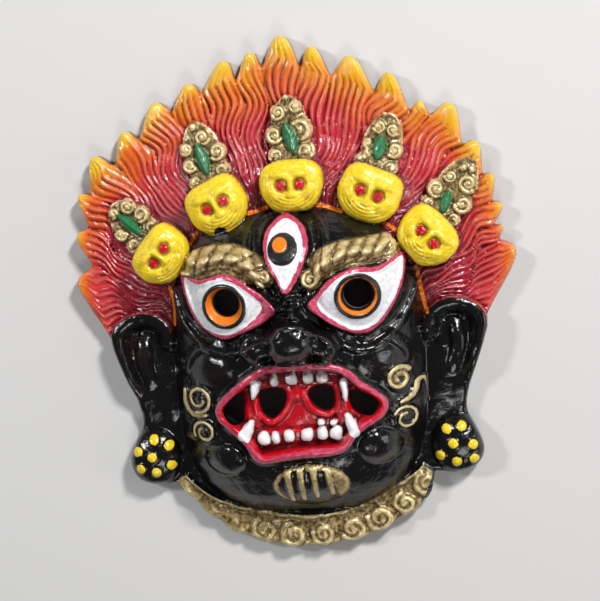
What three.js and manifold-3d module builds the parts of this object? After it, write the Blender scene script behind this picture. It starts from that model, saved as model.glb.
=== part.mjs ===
// A cast-metal wall mask of a traditional wrathful guardian, lying on its back.
// Millimetres. +Z comes out of the face, +Y runs to the flame tips, +X is the viewer's right.
// The face is drawn with y counted up from the lowest point of the beard, and moved at the end
// so that the origin is the middle of the back plane.
import * as THREE from "three";
import { mergeVertices } from "three/addons/utils/BufferGeometryUtils.js";
import Module from "manifold-3d";

const wasm = await Module();
wasm.setup();

// Driving dimensions
const HEIGHT = 155;
const PLATE = 4;
const WALL = 3.2;
const UNDER = 2;
const FACE_CENTRE_Y = 57.5;
const FACE_HALF_WIDTH = 38;
const FACE_HALF_HEIGHT = 46.5;
const FACE_POWER = 3;
const DOME_HEIGHT = 21;
const ROOT_RISE = 8;
const EYE_HOLE_RADIUS = 4.2;
const IRIS_RADIUS = 5.6;
const IRIS_DEPTH = 2.4;
const PUPILS = [[-18.8, 78], [19.6, 78.8]];
const MOUTH_DEPTH = 4.6;
const FINIAL_WIDTH = 12.5;
const FINIAL_OVERLAP = 2;
const BEARD = { x: 0.6, y: 48, halfWidth: 51.8, halfHeight: 48, from: 1.19, to: 1.796, inner: 0.72 };
const BEARD_CURLS = 10;
const BEARD_SCALLOP = 0.7;

// The flame tongues from the lower left, over the top, to the lower right.
// Each has its tip and the valley that follows it. The last valley is the crown's lower right corner.
const CROWN_START = [-57.5, 67];
const TONGUES = [
  { tip: [-66, 85.5], valley: [-61.5, 89.5] },
  { tip: [-65, 99.5], valley: [-62, 101.5] },
  { tip: [-63.5, 111.5], valley: [-60.5, 111.5] },
  { tip: [-58.5, 122.5], valley: [-52.5, 119.5] },
  { tip: [-48.5, 129.5], valley: [-44.5, 127] },
  { tip: [-38.5, 137.5], valley: [-34, 134.5] },
  { tip: [-28, 142.5], valley: [-24.5, 139.5] },
  { tip: [-17, 148.5], valley: [-14, 142.5] },
  { tip: [-9, 150.5], valley: [-6, 146] },
  { tip: [0, 155], valley: [5.5, 145] },
  { tip: [8.5, 151], valley: [14.5, 142] },
  { tip: [20, 147.5], valley: [27, 136.5] },
  { tip: [31, 142], valley: [37, 130.5] },
  { tip: [40, 133], valley: [43, 129] },
  { tip: [49, 132], valley: [52, 119.5] },
  { tip: [55.5, 120.5], valley: [57.5, 110.5] },
  { tip: [60, 110.5], valley: [60, 102.5] },
  { tip: [62.5, 101.5], valley: [60, 95] },
  { tip: [62.5, 95], valley: [61.5, 91] },
  { tip: [66, 88], valley: [56.5, 68.5] },
];

// The skulls along the top of the forehead. Each has its turn in degrees, and the length and the lean
// of the finial that stands above it.
const SKULLS = [
  { x: -38, y: 92.5, turn: 52, width: 18, height: 14.6, finial: 17, lean: 46 },
  { x: -20.5, y: 106.2, turn: 26, width: 18, height: 16, finial: 20, lean: 16 },
  { x: 1.5, y: 110.7, turn: 2, width: 18.6, height: 15.4, finial: 21, lean: 1 },
  { x: 24, y: 107, turn: -24, width: 18.8, height: 16, finial: 18.5, lean: -17 },
  { x: 40, y: 93.5, turn: -50, width: 18.2, height: 15.2, finial: 21, lean: -33 },
];

// Small helpers
const clamp = (v, low, high) => Math.min(high, Math.max(low, v));
const mix = (a, b, t) => a + (b - a) * t;
function smoothstep(low, high, v) {
  const t = clamp((v - low) / (high - low), 0, 1);
  return t * t * (3 - 2 * t);
}
// A round boss, 1 in the middle and 0 from the edge of the ellipse outwards.
function boss(x, y, cx, cy, halfX, halfY, power = 1) {
  const r2 = ((x - cx) / halfX) ** 2 + ((y - cy) / halfY) ** 2;
  return Math.max(0, 1 - r2) ** power;
}
// A soft ridge across a distance, 1 on the line and 0 at its half width.
const ridge = (distance, halfWidth) => Math.max(0, 1 - (distance / halfWidth) ** 2);

// Closed outlines from a few points, rounded by a spline.
function outline(points, samples = 48) {
  const curve = new THREE.SplineCurve([...points, points[0]].map((p) => new THREE.Vector2(...p)));
  return curve.getPoints(samples).slice(0, samples);
}
// Distance to a closed outline, negative inside.
function signedDistance(points, x, y) {
  let best = Infinity;
  let inside = false;
  for (let i = 0, j = points.length - 1; i < points.length; j = i++) {
    const a = points[j];
    const b = points[i];
    const ex = b.x - a.x;
    const ey = b.y - a.y;
    const t = clamp(((x - a.x) * ex + (y - a.y) * ey) / (ex * ex + ey * ey), 0, 1);
    best = Math.min(best, Math.hypot(x - a.x - ex * t, y - a.y - ey * t));
    if (a.y > y !== b.y > y && x < a.x + (ex * (y - a.y)) / ey) inside = !inside;
  }
  return inside ? -best : best;
}

// Outlines on the face
const LEFT_EYE = outline([
  [-31.5, 86], [-26.5, 84.5], [-18, 86], [-8, 77.5], [-13.5, 71], [-20.5, 68.5], [-28, 73.5],
]);
const RIGHT_EYE = outline([
  [32.5, 89], [25.5, 85.5], [18.5, 85.5], [12, 82.5], [8, 76], [18, 68.5], [29.5, 76],
]);
const THIRD_EYE = outline([
  [-0.5, 102.5], [-5.5, 96.5], [-4.5, 89.5], [-0.5, 81.5], [3.5, 89], [5.2, 95.5],
]);
const MOUTH = outline([
  [-24, 47], [-17, 54.5], [-8.5, 59.5], [0, 60], [9.5, 59.5], [17, 56.5], [24, 50], [26, 45],
  [17.5, 38.5], [10.5, 32.5], [-1, 31.5], [-12, 31], [-18, 39],
]);
const MOUTH_HOLES = [
  [[-22, 46], [-18.8, 50.2], [-16.2, 51], [-16.2, 43.5], [-20, 42.8]],
  [[-10.8, 51.5], [-7.5, 52.5], [-3.8, 51.8], [-3.9, 47], [-7.5, 43], [-10.8, 45]],
  [[3.2, 51.5], [7, 52.8], [10.7, 51.8], [10.9, 48], [8.5, 44.6], [4.2, 46.8]],
  [[15.8, 50.4], [19, 50.4], [23.5, 47.4], [22.6, 44.2], [18.2, 43], [15.8, 45.6]],
];

// How far a point is out from the middle of the face, 1 on the edge of the face.
function faceReach(x, y) {
  const across = Math.abs(x) / FACE_HALF_WIDTH;
  const along = Math.abs(y - FACE_CENTRE_Y) / FACE_HALF_HEIGHT;
  return (across ** FACE_POWER + along ** FACE_POWER) ** (1 / FACE_POWER);
}

// The plate that carries everything: flat at the tips, rising to the forehead.
function plateHeight(x, y) {
  const out = Math.max(0, faceReach(x, y) - 1) / 0.3;
  return PLATE + ROOT_RISE * smoothstep(66, 92, y) * Math.exp(-out * out);
}

// The bare dome of the face, without its features.
function domeHeight(x, y) {
  const reach = Math.min(1, faceReach(x, y));
  return plateHeight(x, y) + DOME_HEIGHT * (1 - reach ** 2.5) ** 0.8;
}

// A heavy brow from its curl by the nose to its outer end.
function browHeight(x, y, side) {
  const run = side * x;
  const t = (run - 7) / 25;
  if (t < -0.15 || t > 1.05) return 0;
  const middle = 86.5 + 7 * Math.sin(clamp(t, 0, 1) * 2.1) - (t < 0.12 ? (0.12 - t) * 14 : 0);
  const halfWidth = 4.6 * Math.sqrt(clamp((1.08 - t) * (t + 0.2) * 2.2, 0, 1));
  return 3.6 * ridge(y - middle, halfWidth) ** 0.6;
}

// Broad nose: bridge, ball and two wings with their nostrils.
function noseHeight(x, y) {
  const bridge = 4.5 * ridge(x - 0.5, 7) * smoothstep(88, 72, y) * smoothstep(58, 66, y);
  const ball = 7.5 * boss(x, y, -0.5, 66.5, 9, 8, 0.55);
  const wings = [-9, 8].map((cx) => 5.5 * boss(x, y, cx, 65, 6.5, 6.2, 0.5));
  const nostrils = [-7.5, 6.5].map((cx) => 2 * boss(x, y, cx, 61.6, 3, 1.8));
  return bridge + Math.max(ball, ...wings) - Math.max(...nostrils);
}

// A lidded eye: a raised rim line round a bulging white.
function eyeHeight(shape, x, y, cx, cy, bulge) {
  const d = signedDistance(shape, x, y);
  const ball = d < 0 ? bulge * boss(x, y, cx, cy, 15, 13) : 0;
  const rim = 1.1 * ridge(d - 0.6, 2.4);
  const trough = -1.2 * ridge(d - 3.4, 2.4);
  return ball + rim + trough;
}

// The open mouth: a raised lip, and the gums and tongue set back behind it.
function mouthHeight(x, y) {
  const d = signedDistance(MOUTH, x, y);
  const lip = 2.4 * ridge(d + 1, 2.6);
  const inner = smoothstep(-1.4, -4.2, d);
  const bars = Math.max(ridge(x + 13.6, 2.4), ridge(x + 0.2, 3.2), ridge(x - 13.3, 2.4));
  const tongue = 1.6 * bars * smoothstep(54.5, 52, y) + 1.2 * boss(x, y, 0, 40.5, 13, 3.5);
  return lip - inner * (MOUTH_DEPTH - tongue);
}

// The round scrolls on the cheeks, and the patch of beard on the chin.
const SCROLLS = [
  { x: -29.5, y: 49.5, radius: 4.8 },
  { x: -28.5, y: 39.8, radius: 4 },
  { x: 29.5, y: 52.5, radius: 5 },
  { x: 31.3, y: 41.3, radius: 4.4 },
];
const CHIN = { x: 2, y: 22, halfWidth: 11.3, halfHeight: 7, lift: 3.2, locks: 5 };

// Everything that stands on the face.
function faceHeight(x, y) {
  let z = domeHeight(x, y);
  z += browHeight(x, y, -1) + browHeight(x, y, 1);
  z += noseHeight(x, y);
  z += eyeHeight(LEFT_EYE, x, y, -19, 77.5, 2.6);
  z += eyeHeight(RIGHT_EYE, x, y, 19.5, 78, 2.6);
  z += eyeHeight(THIRD_EYE, x, y, -0.5, 93, 2);
  z += mouthHeight(x, y);
  for (const scroll of SCROLLS) z += boss(x, y, scroll.x, scroll.y, scroll.radius, scroll.radius);
  z += 2.6 * boss(x, y, -23, 31, 7, 5.5) + 2.6 * boss(x, y, 23.5, 33, 7, 5.5);
  z += 2.2 * boss(x, y, -27, 62, 9, 7) + 2.2 * boss(x, y, 27, 62, 9, 7);
  z += CHIN.lift * boss(x, y, CHIN.x, CHIN.y, CHIN.halfWidth, CHIN.halfHeight, 0.55);
  return z;
}

// Solids
function solidFrom(geometry) {
  const bare = geometry.clone();
  bare.deleteAttribute("normal");
  bare.deleteAttribute("uv");
  const merged = mergeVertices(bare, 1e-4);
  return new wasm.Manifold(
    new wasm.Mesh({
      numProp: 3,
      vertProperties: new Float32Array(merged.attributes.position.array),
      triVerts: new Uint32Array(merged.index.array),
    }),
  );
}

// A block whose top is bent to pointAt(u, v), with u and v from 0 to 1. Its bottom reaches below the back
// plane, where the whole mask is cut flat in the end.
function slab(columns, rows, pointAt) {
  const geometry = new THREE.BoxGeometry(1, 1, 1, columns, rows, 1);
  const position = geometry.attributes.position;
  for (let i = 0; i < position.count; i++) {
    const [x, y, z] = pointAt(position.getX(i) + 0.5, position.getY(i) + 0.5);
    position.setXYZ(i, x, y, position.getZ(i) > 0 ? z : -UNDER);
  }
  return solidFrom(geometry);
}

// A square of u and v laid over a rounded square: the rim of one is the rim of the other.
function roundedSquare(u, v, power) {
  const a = 2 * u - 1;
  const b = 2 * v - 1;
  const size = (Math.abs(a) ** power + Math.abs(b) ** power) ** (1 / power);
  if (size === 0) return [0, 0];
  const scale = Math.max(Math.abs(a), Math.abs(b)) / size;
  return [a * scale, b * scale];
}

function faceSolid() {
  return slab(28, 34, (u, v) => {
    const [a, b] = roundedSquare(u, v, FACE_POWER);
    const x = a * FACE_HALF_WIDTH;
    const y = FACE_CENTRE_Y + b * FACE_HALF_HEIGHT;
    return [x, y, faceHeight(x, y)];
  });
}

// The hollow behind the face, a wall's thickness in from the dome, with room behind the nose.
function hollow() {
  const shrink = 1 - WALL / FACE_HALF_WIDTH;
  return slab(9, 11, (u, v) => {
    const [a, b] = roundedSquare(u, v, FACE_POWER);
    const x = a * FACE_HALF_WIDTH * shrink;
    const y = FACE_CENTRE_Y + b * (FACE_HALF_HEIGHT - WALL);
    const nose = 5 * boss(x, y, -0.5, 66, 10, 9);
    const mouth = MOUTH_DEPTH * smoothstep(4.5, 0, signedDistance(MOUTH, x, y));
    return [x, y, domeHeight(x, y) - WALL + nose - mouth];
  });
}

// Where a fraction of the way round the top of the face lies, from the left ear to the right.
function faceEdge(fraction) {
  const angle = Math.PI * mix(0.93, 0.07, fraction);
  const c = Math.cos(angle);
  const s = Math.sin(angle);
  const size = (Math.abs(c) ** FACE_POWER + Math.abs(s) ** FACE_POWER) ** (1 / FACE_POWER);
  return [(c * FACE_HALF_WIDTH) / size, FACE_CENTRE_Y + (s * FACE_HALF_HEIGHT) / size];
}

// One side of a tongue: straight from the face's edge to the valley, then a bowed line to the round tip.
// hand is 1 on its left side and -1 on its right one.
const VALLEY_AT = 0.66;
const TIP_BOW = 0.13;
const MOST_BOW = 1.4;
const BOW_PEAK = 3.1;
function tongueSide(root, valley, tip, hand, t) {
  if (t < VALLEY_AT) {
    const k = t / VALLEY_AT;
    return [mix(root[0], valley[0], k), mix(root[1], valley[1], k)];
  }
  const k = (t - VALLEY_AT) / (1 - VALLEY_AT);
  const dx = tip[0] - valley[0];
  const dy = tip[1] - valley[1];
  const most = Math.min(TIP_BOW, MOST_BOW / Math.hypot(dx, dy));
  const lift = hand * most * BOW_PEAK * k ** 1.6 * Math.sqrt(1 - k);
  return [valley[0] + dx * k - dy * lift, valley[1] + dy * k + dx * lift];
}

// A tongue of flame: carved strands that run from the forehead into its tip. The rows are fractions of the
// way from the face's edge to the tip.
const TONGUE_ROWS = [-0.04, 0.15, 0.33, 0.5, VALLEY_AT, 0.86, 0.985];
const STRAND_WIDTH = 4;
function tongueSolid(index) {
  const { tip, valley: rightValley } = TONGUES[index];
  const leftValley = index > 0 ? TONGUES[index - 1].valley : CROWN_START;
  const leftRoot = faceEdge(index / TONGUES.length);
  const rightRoot = faceEdge((index + 1) / TONGUES.length);
  const width = Math.hypot(rightValley[0] - leftValley[0], rightValley[1] - leftValley[1]);
  const strands = Math.max(2, Math.round(width / STRAND_WIDTH));
  const columns = strands * 2;
  const rows = TONGUE_ROWS.length - 1;
  return slab(columns + 2, rows, (u, v) => {
    const column = Math.round(u * (columns + 2)) - 1;
    const t = TONGUE_ROWS[Math.round(v * rows)];
    const left = tongueSide(leftRoot, leftValley, tip, 1, t);
    const right = tongueSide(rightRoot, rightValley, tip, -1, t);
    const lap = 0.09 * smoothstep(VALLEY_AT, VALLEY_AT - 0.15, t);
    const s = column < 0 ? -lap - 0.01 : column > columns ? 1 + lap + 0.01 : column / columns;
    const wave = 0.9 * Math.sin(t * 9 + index * 1.7) * smoothstep(1, 0.7, t) * smoothstep(0, 0.2, t);
    const x = mix(left[0], right[0], s) + wave * Math.cos(index);
    const y = mix(left[1], right[1], s) + wave * Math.sin(index);
    const crest = column < 0 || column > columns ? -0.9 : column % 2 ? 1 : 0;
    const round = 1.2 * (1 - (2 * clamp(s, 0, 1) - 1) ** 4);
    return [x, y, plateHeight(x, y) + crest * mix(1.2, 0.6, t) + round * smoothstep(0.2, 0.7, t)];
  });
}

// A skull: a round brow, a snout, deep sockets and bead eyes. a runs across and b up, in skull widths.
function skullHeight(a, b) {
  const head = 5.5 * Math.max(0, 1 - (a * a * 0.9 + b * b * 0.8)) ** 0.5;
  const sockets = 1.1 * Math.max(boss(a, b, -0.3, 0.05, 0.26, 0.3), boss(a, b, 0.3, 0.05, 0.26, 0.3));
  const beads = 1.9 * Math.max(boss(a, b, -0.3, 0.05, 0.15, 0.16), boss(a, b, 0.3, 0.05, 0.15, 0.16));
  const snout = 1.3 * boss(a, b, 0, -0.45, 0.5, 0.45);
  return head - sockets + beads + snout;
}

function placed(skull, turn, a, b) {
  const angle = THREE.MathUtils.degToRad(turn);
  const c = Math.cos(angle);
  const s = Math.sin(angle);
  return [skull.x + a * c - b * s, skull.y + a * s + b * c];
}

function skullSolid(skull) {
  return slab(7, 7, (u, v) => {
    const [a, b] = roundedSquare(u, v, 2.6);
    const taper = 1 - 0.12 * smoothstep(0, -1, b);
    const [x, y] = placed(skull, skull.turn, (a * taper * skull.width) / 2, (b * skull.height) / 2);
    return [x, y, plateHeight(skull.x, skull.y) + 2.5 + skullHeight(a, b)];
  });
}

// A finial of scrollwork above a skull, with a lozenge gem down its middle.
function finialHeight(a, b) {
  const curls = 0.9 * Math.cos(b * 11) * smoothstep(0.25, 0.55, Math.abs(a));
  const gem = 1.8 * Math.max(0, 1 - Math.abs(a) / 0.3 - Math.abs(b + 0.05) / 0.5);
  return 2.2 * Math.sqrt(Math.max(0, 1 - a * a * 0.7)) + curls + gem;
}

function finialSolid(skull) {
  return slab(5, 7, (u, v) => {
    const a = 2 * u - 1;
    const b = 2 * v - 1;
    const taper = Math.sqrt(Math.max(0.02, 1 - Math.max(0, b) ** 2.2)) * (1 + 0.07 * Math.cos(b * 11));
    const up = skull.height / 2 - FINIAL_OVERLAP + skull.finial * v;
    const [x, y] = placed(skull, skull.lean, (a * taper * FINIAL_WIDTH) / 2, up);
    return [x, y, plateHeight(x, y) + 0.6 + finialHeight(a, b) * mix(1, 0.7, v)];
  });
}

// The outer edge of the right ear, from its top to the bottom of the earring. The left one mirrors it.
const EAR_EDGE = [
  [52, 74], [56.8, 69], [55.4, 62], [52.8, 54.5], [50, 46], [49.5, 40],
  [52, 34.5], [54, 28.5], [51.8, 23.5], [45, 21.5],
];
const EAR_INNER = { x: 33, low: 22, high: 78 };
const earCurve = new THREE.SplineCurve(EAR_EDGE.map((p) => new THREE.Vector2(...p)));

function earSolid(side) {
  return slab(5, 13, (column, v) => {
    const u = side > 0 ? column : 1 - column;
    const edge = earCurve.getPoint(1 - v);
    const x = mix(EAR_INNER.x, edge.x, u);
    const y = mix(mix(EAR_INNER.low, EAR_INNER.high, v), edge.y, u);
    const helix = 4.5 * ridge(u - 0.78, 0.3) * smoothstep(32, 46, y);
    const fold = 2.5 * ridge(u - 0.42, 0.22) * smoothstep(34, 48, y) * smoothstep(74, 64, y);
    const lobe = 5.5 * boss(x, y, 46.5, 30, 8.6, 9.4, 0.6);
    return [side * x, y, PLATE + Math.max(helix, lobe) + fold];
  });
}

// The beard trim: a flat band below the face with a row of curls, a little narrower towards its ends.
function beardSolid() {
  return slab(BEARD_CURLS * 3, 3, (u, row) => {
    const v = 1 - row;
    const angle = Math.PI * mix(BEARD.from, BEARD.to, u);
    const wave = Math.abs(Math.sin(Math.PI * BEARD_CURLS * u));
    const edge = 1 - 0.04 * smoothstep(0.3, 0.05, u) - 0.065 * smoothstep(0.9, 1, u);
    const grow = mix(BEARD.inner, edge, v) + (v === 1 ? (BEARD_SCALLOP * (wave - 1)) / BEARD.halfHeight : 0);
    const x = BEARD.x + BEARD.halfWidth * grow * Math.cos(angle);
    const y = BEARD.y + BEARD.halfHeight * grow * Math.sin(angle);
    const curl = 1.6 * wave * Math.sin(Math.PI * v);
    return [x, y, PLATE + 0.8 + curl - 1.2 * v * v];
  });
}

// The ring of a cheek scroll, and one of the upright locks on the chin.
function scrollSolid({ x, y, radius }) {
  const geometry = new THREE.TorusGeometry(radius - 0.9, 0.9, 4, 9);
  return solidFrom(geometry.translate(x, y, domeHeight(x, y) + 0.3));
}

function lockSolid(index) {
  const run = (index / (CHIN.locks - 1)) * 2 - 1;
  const x = CHIN.x + run * 0.68 * CHIN.halfWidth;
  const geometry = new THREE.SphereGeometry(0.5, 5, 3);
  geometry.scale(2, CHIN.halfHeight * 1.3 * Math.sqrt(1 - 0.3 * run * run), 3);
  const lift = CHIN.lift * Math.sqrt(1 - 0.5 * run * run);
  return solidFrom(geometry.translate(x, CHIN.y, domeHeight(x, CHIN.y) + lift - 0.7));
}

// The teeth, and the longer fangs with their lean in degrees.
const FANG_LENGTH = 5;
const TEETH = [
  { x: -6.4, y: 55, width: 2.4, length: 3.8 },
  { x: -1.2, y: 55.3, width: 3.4, length: 3.6 },
  { x: 3.5, y: 55.4, width: 3.2, length: 3.6 },
  { x: 7.7, y: 55.3, width: 3.4, length: 3.6 },
  { x: -10.6, y: 37.4, width: 3.6, length: 3.8 },
  { x: -7.1, y: 37.7, width: 2.4, length: 3.6 },
  { x: -3.1, y: 38.1, width: 3.1, length: 3.7 },
  { x: 2.1, y: 38.2, width: 3.5, length: 3.7 },
  { x: 6.7, y: 38.6, width: 3, length: 4.2 },
  { x: 10.7, y: 38.3, width: 3.6, length: 4.2 },
  { x: -12.3, y: 52.6, width: 3.4, length: 6.2, turn: -14 },
  { x: 14, y: 51.6, width: 2.8, length: 6.6, turn: 2 },
  { x: -15, y: 40.6, width: 4, length: 6, turn: -28 },
  { x: 15.4, y: 41, width: 3.8, length: 6.2, turn: 24 },
];

function toothSolid(tooth) {
  const long = tooth.length > FANG_LENGTH;
  const geometry = new THREE.SphereGeometry(0.5, 5, 3);
  geometry.scale(tooth.width, tooth.length, long ? 6.4 : 5);
  geometry.rotateZ(THREE.MathUtils.degToRad(tooth.turn ?? 0));
  geometry.translate(tooth.x, tooth.y, domeHeight(tooth.x, tooth.y) - (long ? 2.4 : 3.4));
  return solidFrom(geometry);
}

// Cutters for the holes: a drilled pupil with a coned iris, and a gap in the mouth.
const CUT_ABOVE = 5;
function pupilCut(x, y) {
  const surface = faceHeight(x, y);
  const profile = [
    [0, -UNDER],
    [EYE_HOLE_RADIUS, -UNDER],
    [EYE_HOLE_RADIUS, surface - IRIS_DEPTH],
    [IRIS_RADIUS, surface + 0.6],
    [IRIS_RADIUS, surface + CUT_ABOVE],
    [0, surface + CUT_ABOVE],
  ];
  const geometry = new THREE.LatheGeometry(profile.map((p) => new THREE.Vector2(...p)), 20);
  geometry.rotateX(Math.PI / 2).translate(x, y, 0);
  return solidFrom(geometry);
}

function mouthCut(points) {
  const shape = new THREE.Shape(outline(points, 16));
  const geometry = new THREE.ExtrudeGeometry(shape, { depth: HEIGHT / 2, bevelEnabled: false });
  return solidFrom(geometry.translate(0, 0, -UNDER));
}

function maskGeometry() {
  let solid = faceSolid();
  TONGUES.forEach((_, index) => (solid = solid.add(tongueSolid(index))));
  for (const skull of SKULLS) solid = solid.add(finialSolid(skull)).add(skullSolid(skull));
  solid = solid.add(earSolid(-1)).add(earSolid(1)).add(beardSolid());
  for (const tooth of TEETH) solid = solid.add(toothSolid(tooth));
  for (const scroll of SCROLLS) solid = solid.add(scrollSolid(scroll));
  for (let index = 0; index < CHIN.locks; index++) solid = solid.add(lockSolid(index));
  solid = solid.subtract(hollow());
  for (const pupil of PUPILS) solid = solid.subtract(pupilCut(...pupil));
  for (const points of MOUTH_HOLES) solid = solid.subtract(mouthCut(points));
  const below = new THREE.BoxGeometry(2 * HEIGHT, 4 * HEIGHT, 2 * UNDER).translate(0, 0, -UNDER);
  solid = solid.subtract(solidFrom(below));
  const mesh = solid.getMesh();
  const geometry = new THREE.BufferGeometry();
  geometry.setAttribute("position", new THREE.BufferAttribute(mesh.vertProperties, mesh.numProp));
  geometry.setIndex(new THREE.BufferAttribute(mesh.triVerts, 1));
  geometry.translate(0, -HEIGHT / 2, 0);
  geometry.computeVertexNormals();
  return geometry;
}

const paintedMetal = new THREE.MeshStandardMaterial({ color: 0x1a1414, roughness: 0.3, metalness: 0.2 });
const mask = new THREE.Mesh(maskGeometry(), paintedMetal);
mask.name = "mask";

const part = new THREE.Group();
part.add(mask);

export default part;
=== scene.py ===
import math

import bpy
import numpy as np
from mathutils import Matrix, Vector, geometry
from mathutils.kdtree import KDTree


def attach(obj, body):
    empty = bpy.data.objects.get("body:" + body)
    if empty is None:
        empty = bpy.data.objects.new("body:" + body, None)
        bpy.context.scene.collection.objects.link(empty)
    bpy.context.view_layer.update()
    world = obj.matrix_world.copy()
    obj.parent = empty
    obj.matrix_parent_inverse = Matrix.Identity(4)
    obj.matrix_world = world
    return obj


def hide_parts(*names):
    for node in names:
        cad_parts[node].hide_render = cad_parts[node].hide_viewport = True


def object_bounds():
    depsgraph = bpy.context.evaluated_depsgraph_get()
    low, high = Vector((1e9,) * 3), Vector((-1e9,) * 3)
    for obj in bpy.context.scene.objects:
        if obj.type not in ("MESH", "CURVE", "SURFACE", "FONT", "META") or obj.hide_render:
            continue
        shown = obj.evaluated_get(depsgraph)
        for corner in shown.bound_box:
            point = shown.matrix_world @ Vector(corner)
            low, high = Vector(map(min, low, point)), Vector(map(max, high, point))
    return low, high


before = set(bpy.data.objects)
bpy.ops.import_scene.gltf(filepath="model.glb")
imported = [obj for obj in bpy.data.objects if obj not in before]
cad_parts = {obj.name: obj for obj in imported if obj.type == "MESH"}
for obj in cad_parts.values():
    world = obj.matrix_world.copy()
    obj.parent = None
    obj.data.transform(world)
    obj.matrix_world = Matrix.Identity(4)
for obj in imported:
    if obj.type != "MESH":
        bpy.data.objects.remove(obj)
CAD_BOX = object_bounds()

# Driving dimensions
MM = 0.001
HEIGHT = 155.0
PLATE = 4.0
WALL = 3.2
FACE_CENTRE_Y = 57.5
FACE_HALF_WIDTH = 38.0
FACE_HALF_HEIGHT = 46.5
FACE_POWER = 3
DOME_HEIGHT = 21.0
DOME_FLATNESS = 2.5
DOME_ROUNDNESS = 0.8
RIM_ROUND = 1.5
HOLE_ROUND = 0.5
THINNEST_EDGE = 0.8
CEILING_SOFTNESS = 3.0

# The plate rises by this much towards the forehead: over this stretch of y, and fading outwards over
# this share of the way out from the middle of the face.
ROOT_RISE = 8.0
ROOT_Y = (66, 92)
ROOT_FADE = 0.3

# Further off than anything on the mask, and a paint distance that means no paint.
FAR = 1e9
NO_PAINT = 9.0

# The grid of the front: a fine step over the face, and a coarser one outside that stretch.
GRID_X = (-67.0, 67.0)
GRID_Y = (-1.0, 156.0)
FINE_X = (-34.0, 34.0)
FINE_Y = (29.0, 113.0)
FINE_STEP = 0.38
COARSE_STEP = 0.46
# How many times the heights are averaged, to tell what stands out as a crest.
CREST_SPREAD = 14

# The back: the step of its points and how far they keep from the edges, and the hollow, with the
# points round its edge and the places, half widths and depths of the nose's and the mouth's own forms.
BACK_X = (-66, 66)
BACK_STEP = 2.2
ROW_SPACING = 0.87
BACK_CLEARANCE = 0.7
RING_POINTS = 220
HOLLOW_RINGS = (1.0, 0.99, 0.975, 0.95)
NOSE_HOLLOW = (-0.5, 66, 10, 9)
NOSE_HOLLOW_DEPTH = 5
MOUTH_WALL = 4.6
MOUTH_WALL_WIDTH = 4.5
# The kind of triangulation that keeps only what its given edges enclose, and how near two of its
# points may lie.
WITHIN_EDGES = 1
SAME_PLACE = 1e-5
# How far the mesh keeps inside the solid's box, in metres.
BOX_INSET = 2e-5

# The flame tongues from the lower left, over the top, to the lower right: each has its tip and the
# valley that follows it. The last valley is the crown's lower right corner.
CROWN_START = (-57.5, 67)
TONGUES = [
    ((-66, 85.5), (-61.5, 89.5)),
    ((-65, 99.5), (-62, 101.5)),
    ((-63.5, 111.5), (-60.5, 111.5)),
    ((-58.5, 122.5), (-52.5, 119.5)),
    ((-48.5, 129.5), (-44.5, 127)),
    ((-38.5, 137.5), (-34, 134.5)),
    ((-28, 142.5), (-24.5, 139.5)),
    ((-17, 148.5), (-14, 142.5)),
    ((-9, 150.5), (-6, 146)),
    ((0, 154.7), (5.5, 145)),
    ((8.5, 151), (14.5, 142)),
    ((20, 147.5), (27, 136.5)),
    ((31, 142), (37, 130.5)),
    ((40, 133), (43, 129)),
    ((49, 132), (52, 119.5)),
    ((55.5, 120.5), (57.5, 110.5)),
    ((60, 110.5), (60, 102.5)),
    ((62.5, 101.5), (60, 95)),
    ((62.5, 95), (61.5, 91)),
    ((66, 88), (56.5, 68.5)),
]
# How far up a tongue its valleys lie, how its sides bow out, and the number of points on each side.
VALLEY_AT = 0.66
TIP_BOW = 0.13
MOST_BOW = 1.4
BOW_PEAK = 3.1
TIP_POINTS = 14
# The part of a half circle, from left to right, over which the tongues spring from the face.
CROWN_FAN = (0.93, 0.07)
# The crown's flames start at this height, and this is how warm their colour is at the lower sides.
CROWN_FOOT = 66
LOW_WARMTH = 0.68
STRAND_WIDTH = 2.3
STRAND_HEIGHT = 1.6
SWAY = 1.7
BLADE_HEIGHT = 2.0
TONGUE_LAP = 0.5
# The search for places on a tongue: lattice points across and along, then steps that refine them.
LATTICE = (13, 76)
REFINEMENTS = 3
NUDGE = 0.01

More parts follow.
